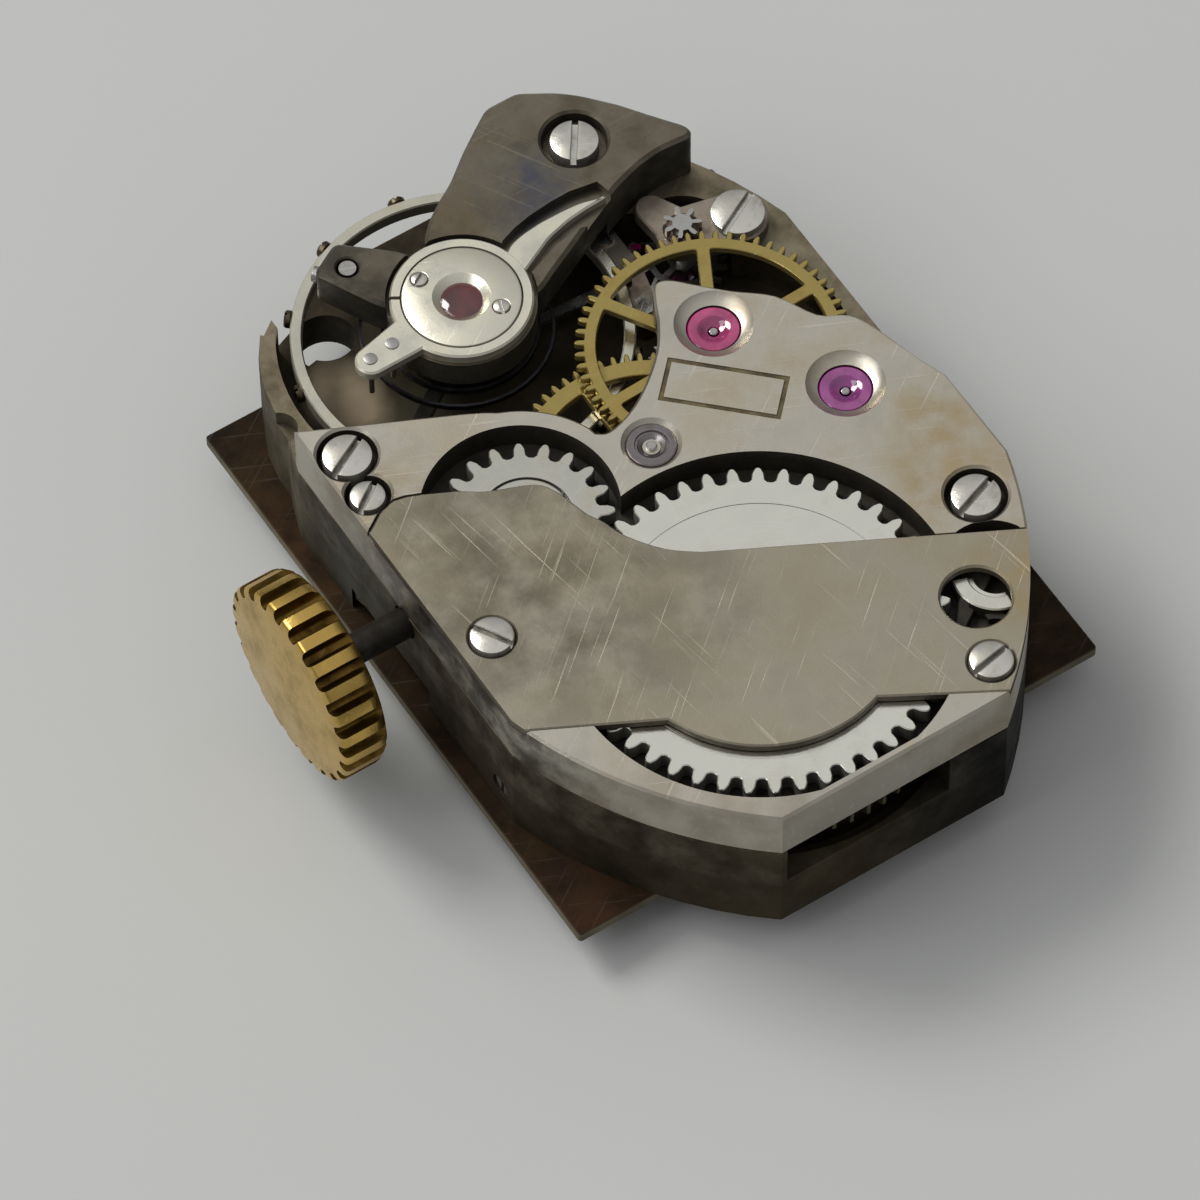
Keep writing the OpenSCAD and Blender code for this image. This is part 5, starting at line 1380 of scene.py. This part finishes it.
class Train:
    """Brass wheels on their steel arbors."""

    def wheel(self, name: str, node: str, at: Point, plan: Loop, openings: list[Loop],
              low: float, high: float) -> None:
        """One spoked wheel.

        Args:
            name: piece's name.
            node: solid that it stands for, and the body that it turns with.
            at: its axis.
            plan: toothed outline about the origin.
            openings: windows between the spokes.
            low: under face.
            high: upper face.
        """
        softened = [rounded(loop, 0.06, 2) for loop in openings]
        form = Form.slab(plan, low, high, softened, rim=0.015, foot=0.015)
        form.moved(at).piece(name, BRASS, node, [node], "brass")

    def pinion(self, name: str, node: str, at: Point, leaves: int, module: float, phase: float,
               band: tuple[float, float], spans: Sequence[tuple[float, float, float]]) -> None:
        """Steel arbor with its leaves and pivots.

        Args:
            name: piece's name.
            node: solid that it stands for, and the body that it turns with.
            at: its axis.
            leaves: number of leaves.
            module: their module.
            phase: angle of the first leaf.
            band: heights of the leaves.
            spans: radius, foot and top of each turned length.
        """
        form = Form.slab(gear_outline(leaves, module, phase, share=0.38), band[0], band[1], rim=0.02,
                         foot=0.02)
        for r, low, high in spans:
            form.join(Form.spun([(0, low), (r - 0.01, low), (r, low + 0.01), (r, high - 0.02),
                                   (r - 0.02, high), (0, high)], steps=32))
        form.moved(at).piece(name, STEEL, node, [node], "steel")

    def build(self) -> None:
        """Makes the wheels and their arbors."""
        centre, leaves = (0.0, 0.0), AT.pinion_leaves
        fourth_m = 2 * math.dist(AT.fourth_at, AT.escape_at) / (AT.fourth_teeth + AT.escape_leaves)
        third_m = 2 * math.dist(AT.third_at, AT.fourth_at) / (AT.third_teeth + leaves)
        centre_m = 2 * math.dist(centre, AT.third_at) / (AT.centre_teeth + leaves)
        barrel_m = 2 * math.dist(AT.ratchet_at, centre) / (AT.barrel_teeth + AT.centre_leaves)
        self.wheel("fourth_rim", "fourth_wheel", AT.fourth_at, gear_outline(AT.fourth_teeth, fourth_m, 2),
                   windows(0.42, fourth_m * AT.fourth_teeth / 2 - 0.32, 6, 0.24, 2), 2.9, 3.06)
        self.wheel("centre_rim", "centre_wheel", centre, gear_outline(AT.centre_teeth, centre_m, 0),
                   windows(0.55, centre_m * AT.centre_teeth / 2 - 0.42, 5, 0.24, 90), 2.65, 2.81)
        self.wheel("third_rim", "third_wheel", AT.third_at, gear_outline(AT.third_teeth, third_m, 0),
                   windows(0.42, third_m * AT.third_teeth / 2 - 0.32, 5, 0.2, 0), 1.9, 2.06)
        arbor = [(0.16, 1.38, 3.06), (0.08, 1.10, 3.48)]
        self.pinion("third_arbor", "third_wheel", AT.third_at, leaves, centre_m,
                    mesh_phase(0, AT.centre_teeth, leaves, heading(centre, AT.third_at)),
                    (2.62, 2.84), arbor)
        self.pinion("fourth_arbor", "fourth_wheel", AT.fourth_at, leaves, third_m,
                    mesh_phase(0, AT.third_teeth, leaves, heading(AT.third_at, AT.fourth_at)),
                    (1.86, 2.10), arbor)
        self.pinion("centre_arbor", "centre_wheel", centre, AT.centre_leaves, barrel_m,
                    mesh_phase(0, AT.barrel_teeth, AT.centre_leaves, heading(AT.ratchet_at, centre)),
                    (2.03, 2.47), [(0.22, 1.33, 2.65), (0.24, 1.0, 1.33), (0.16, -0.5, 1.0),
                                   (0.2, 2.81, 2.87), (0.1, 2.81, 3.64)])


@dataclass
class Balance:
    """Balance wheel with timing screws, its staff and the hairspring."""

    arm_turn: float = 35.0
    rim_r: float = 3.12
    inner_r: float = 2.90
    count: int = 12

    def wheel(self) -> None:
        """Rim and two arms in one piece, with slotted screws round it."""
        form = Form.slab(circle((0, 0), self.rim_r, 144), 2.30, 2.60, [circle((0, 0), self.inner_r, 144)],
                         rim=0.025, foot=0.025)
        arms = Form.slab(turned_box((0, 0), 5.9, 0.3, self.arm_turn), 2.38, 2.50, rim=0.02)
        hub = Form.slab(circle((0, 0), 0.36, 48), 2.381, 2.501, rim=0.02)
        form.fuse(arms, hub)
        form.cut(Form.slab(circle((0, 0), 0.14, 32), 2.2, 2.7))
        # The arms and hub take near-black steel: painted shade under the cock, with dirt.
        form.tell(lambda at, normal: math.hypot(at.x, at.y) < 2.8)
        form.moved(AT.balance_at).piece("balance_rim", RIM_NICKEL, "balance", ["balance_wheel"],
                                        "bright_steel", second=DIRTY_SHADED_STEEL)
        heads = Form()
        for i in range(self.count):
            turn = self.arm_turn + 360 / self.count * (i + 0.5)
            screw = Form.spun([(0, 3.0), (0.05, 3.0), (0.05, 3.125), (0.15, 3.125), (0.165, 3.14),
                                 (0.165, 3.22), (0.14, 3.25), (0, 3.25)], steps=24)
            screw.cut(Form.box((-0.2, -0.025, 3.2), (0.2, 0.025, 3.4)))
            heads.join(screw.turned_by(90, "Y").turned_by(turn))
        heads.moved((*AT.balance_at, 2.45)).piece("timing_screw_heads", SCREW_BRASS, "balance",
                                                 ["timing_screws"], "brass")

    def staff(self) -> None:
        """Staff with its roller, and the collet on it."""
        form = Form.spun([(0, 1.01), (0.06, 1.01), (0.08, 1.04), (0.08, 1.32), (0.14, 1.34), (0.14, 2.16),
                            (0.44, 2.16), (0.46, 2.18), (0.46, 2.36), (0.44, 2.38), (0.14, 2.38),
                            (0.14, 2.97), (0.08, 2.99), (0.08, 3.48), (0.06, 3.5), (0, 3.5)],
                           AT.balance_at, 40)
        form.piece("staff_arbor", STEEL, "balance", ["balance_staff"], "steel")
        Form.spun([(0.14, 2.58), (0.30, 2.58), (0.315, 2.6), (0.315, 2.84), (0.295, 2.86), (0.14, 2.86)],
                    AT.balance_at, 40).piece("collet_ring", BRASS, "balance", ["hairspring_collet"], "brass")

    def build(self) -> None:
        """Makes the balance."""
        self.wheel()
        self.staff()


@dataclass
class Dial:
    """The dial blank: a thin sheet."""

    size: tuple[float, float] = (11.0, 12.6)
    centre: Point = (0.0, 0.15)
    hole_r: float = 0.85

    def build(self) -> None:
        """Plate with a chamfered under edge and a hole for the hands."""
        plan = rounded(turned_box(self.centre, *self.size, 0), 0.08, 3)
        form = Form.slab(plan, 0.0, AT.dial_top_z, [circle((0, 0), self.hole_r, 64)], rim=0.02, foot=0.13)
        bmesh.ops.subdivide_edges(form.bm, edges=[e for e in form.bm.edges if e.calc_length() > 2], cuts=5,
                                  use_grid_fill=True)
        form.piece("dial_sheet", DIAL_BROWN, "root", ["dial"], "dial_brown")


@dataclass
class Fasteners:
    """Screws of the bridges, cover and cocks."""

    screws: dict[str, list[Screw]] = field(default_factory=lambda: {
        "bridge_screws": [Screw(at, 0.45, AT.bridge_seat_z, 3.68, 0.24, 1.7, turn)
                          for at, turn in ((AT.bridge_screw_a, 28), (AT.bridge_screw_b, 20))],
        "cover_screws": [Screw(at, 0.4, AT.cover_seat_z, 3.78, 0.17, 2.9, turn, 0.1, 0.13, Mark.DOMED)
                         for at, turn in ((AT.cover_screw_a, -60), (AT.cover_screw_b, 10))],
        "cock_screw": [Screw(AT.cock_screw_at, 0.45, AT.cock_seat_z, 3.68, 0.24, 1.74, 55)],
        "escape_cock_screw": [Screw(AT.escape_screw_at, 0.5, AT.escape_top_z, 3.0, 0.1, 1.66, 28, 0.11, 0.1)],
        "setting_lever_screw": [Screw(AT.lever_screw_at, 0.33, AT.lever_seat_z, 3.66, 0.2, 0.62, 35,
                                      mark=Mark.DOMED)],
        "end_piece_screws": [Screw(at, 0.16, 3.62, 3.76, 0.09, 3.27, turn, 0.05, 0.06, Mark.DOMED)
                             for at, turn in zip(AT.end_screws, (30, 70))]})

    def build(self) -> None:
        """Makes each set of screws as one piece."""
        for node, group in self.screws.items():
            form = group[0].form().join(*[screw.form() for screw in group[1:]])
            form.piece(f"{node}_steel", SCREW_STEEL, "root", [node], "steel")


@dataclass
class Studio:
    """Floor, lights and camera, whose axes are fitted to the photograph's circles and right angles."""

    aim: tuple[float, float, float] = (-2.55, -2.29, 3.70)
    right: tuple[float, float, float] = (0.8475, -0.5308, 0.0)
    up: tuple[float, float, float] = (0.4454, 0.7112, 0.5440)
    back: tuple[float, float, float] = (-0.2888, -0.4610, 0.8392)
    roll: float = 0.87
    distance: float = 157.5
    lens: float = 270.0
    floor_z: float = -0.6

    def camera(self) -> None:
        """Long lens at the photograph's angle."""
        right, up, back = Vector(self.right), Vector(self.up), Vector(self.back)
        r = math.radians(self.roll)
        side = right * math.cos(r) - up * math.sin(r)
        head = up * math.cos(r) + right * math.sin(r)
        data = bpy.data.cameras.new("camera")
        data.lens, data.sensor_width = self.lens, 36.0
        data.clip_start, data.clip_end = 0.001, 10.0
        cam = bpy.data.objects.new("camera", data)
        place = (Vector(self.aim) + back * self.distance) * MM
        cam.matrix_world = Matrix.Translation(place) @ Matrix((side, head, back)).transposed().to_4x4()
        bpy.context.scene.collection.objects.link(cam)
        bpy.context.scene.camera = cam

    def floor(self) -> None:
        """Wide pale sheet under the movement."""
        form = Form()
        bmesh.ops.create_grid(form.bm, x_segments=8, y_segments=8, size=400.0)
        form.moved((0, 0, self.floor_z))
        bmesh.ops.scale(form.bm, vec=(MM, MM, MM), verts=form.bm.verts[:])
        data = bpy.data.meshes.new("floor")
        form.bm.to_mesh(data)
        form.bm.free()
        data.materials.append(Paper("floor_paper", (0.50, 0.505, 0.49)).material())
        sheet = bpy.data.objects.new("floor", data)
        bpy.context.scene.collection.objects.link(sheet)

    def lamp(self, name: str, place: Sequence[float], size: float, power: float, tint: Colour) -> None:
        """Square area lamp that faces the movement.

        Args:
            name: its name.
            place: where it hangs, in millimetres.
            size: length of its sides, in millimetres.
            power: its power in watts.
            tint: its colour.
        """
        data = bpy.data.lights.new(name, "AREA")
        data.shape, data.size = "SQUARE", size * MM
        data.energy, data.color = power, tint
        lamp = bpy.data.objects.new(name, data)
        lamp.location = Vector(place) * MM
        lamp.rotation_mode = "QUATERNION"
        lamp.rotation_quaternion = (Vector(place)).to_track_quat("Z", "Y")
        bpy.context.scene.collection.objects.link(lamp)

    def world(self) -> None:
        """Pale surroundings, dimmer towards the horizon."""
        world = bpy.data.worlds.new("room")
        bpy.context.scene.world = world
        world.use_nodes = True
        tree = world.node_tree
        back = tree.nodes["Background"]
        coords = tree.nodes.new("ShaderNodeTexCoord")
        split = tree.nodes.new("ShaderNodeSeparateXYZ")
        tree.links.new(coords.outputs["Generated"], split.inputs[0])
        ramp = tree.nodes.new("ShaderNodeValToRGB")
        stops = ((0.05, (0.10, 0.10, 0.10, 1)), (0.9, (0.75, 0.76, 0.77, 1)))
        for stop, (place, tone) in zip(ramp.color_ramp.elements, stops):
            stop.position, stop.color = place, tone
        tree.links.new(split.outputs[2], ramp.inputs[0])
        tree.links.new(ramp.outputs[0], back.inputs["Color"])
        back.inputs["Strength"].default_value = 0.75

    def build(self) -> None:
        """Sets the stage."""
        self.floor()
        self.world()
        self.lamp("window", (-160, 340, 420), 240, 1.8, (1.0, 0.99, 0.96))
        self.lamp("fill", (-150, 40, 160), 130, 0.12, (0.97, 0.98, 1.0))
        self.camera()
        bpy.context.scene.view_settings.view_transform = "Standard"


NODE_FINISHES: dict[str, Finish] = {
    "dial": DIAL_BROWN, "main_plate": PLATE_NICKEL, "pallet_bridge": ESCAPE_NICKEL,
    "lower_jewels": RUBY, "pallet_stones": RUBY, "impulse_jewel": RUBY, "crown": CROWN_GOLD,
    "barrel": DULL_BRASS, "barrel_lid": DULL_BRASS, "mainspring": SPRING_STEEL, "hairspring": SPRING_STEEL,
    "minute_wheel": BRASS, "hour_wheel": BRASS, "sliding_pinion": DIRTY_SHADED_STEEL,
    "winding_pinion": DIRTY_SHADED_STEEL, "click_spring": DIRTY_SHADED_STEEL}


def dress_solids() -> None:
    """Gives every solid a worn metal or a stone of its own."""
    for name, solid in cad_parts.items():
        solid.data.materials.clear()
        solid.data.materials.append(NODE_FINISHES.get(name, STEEL).material())


def main() -> None:
    """Builds the movement's looks, one sub-assembly at a time."""
    logging.basicConfig(level=logging.INFO, format="%(message)s")
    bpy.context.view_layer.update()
    dress_solids()
    for part in (Bridges(), BalanceCock(), Settings(), Winding(), Train(), Balance(), Dial(), Fasteners()):
        part.build()
    Studio().build()


if __name__ == "__main__":
    main()
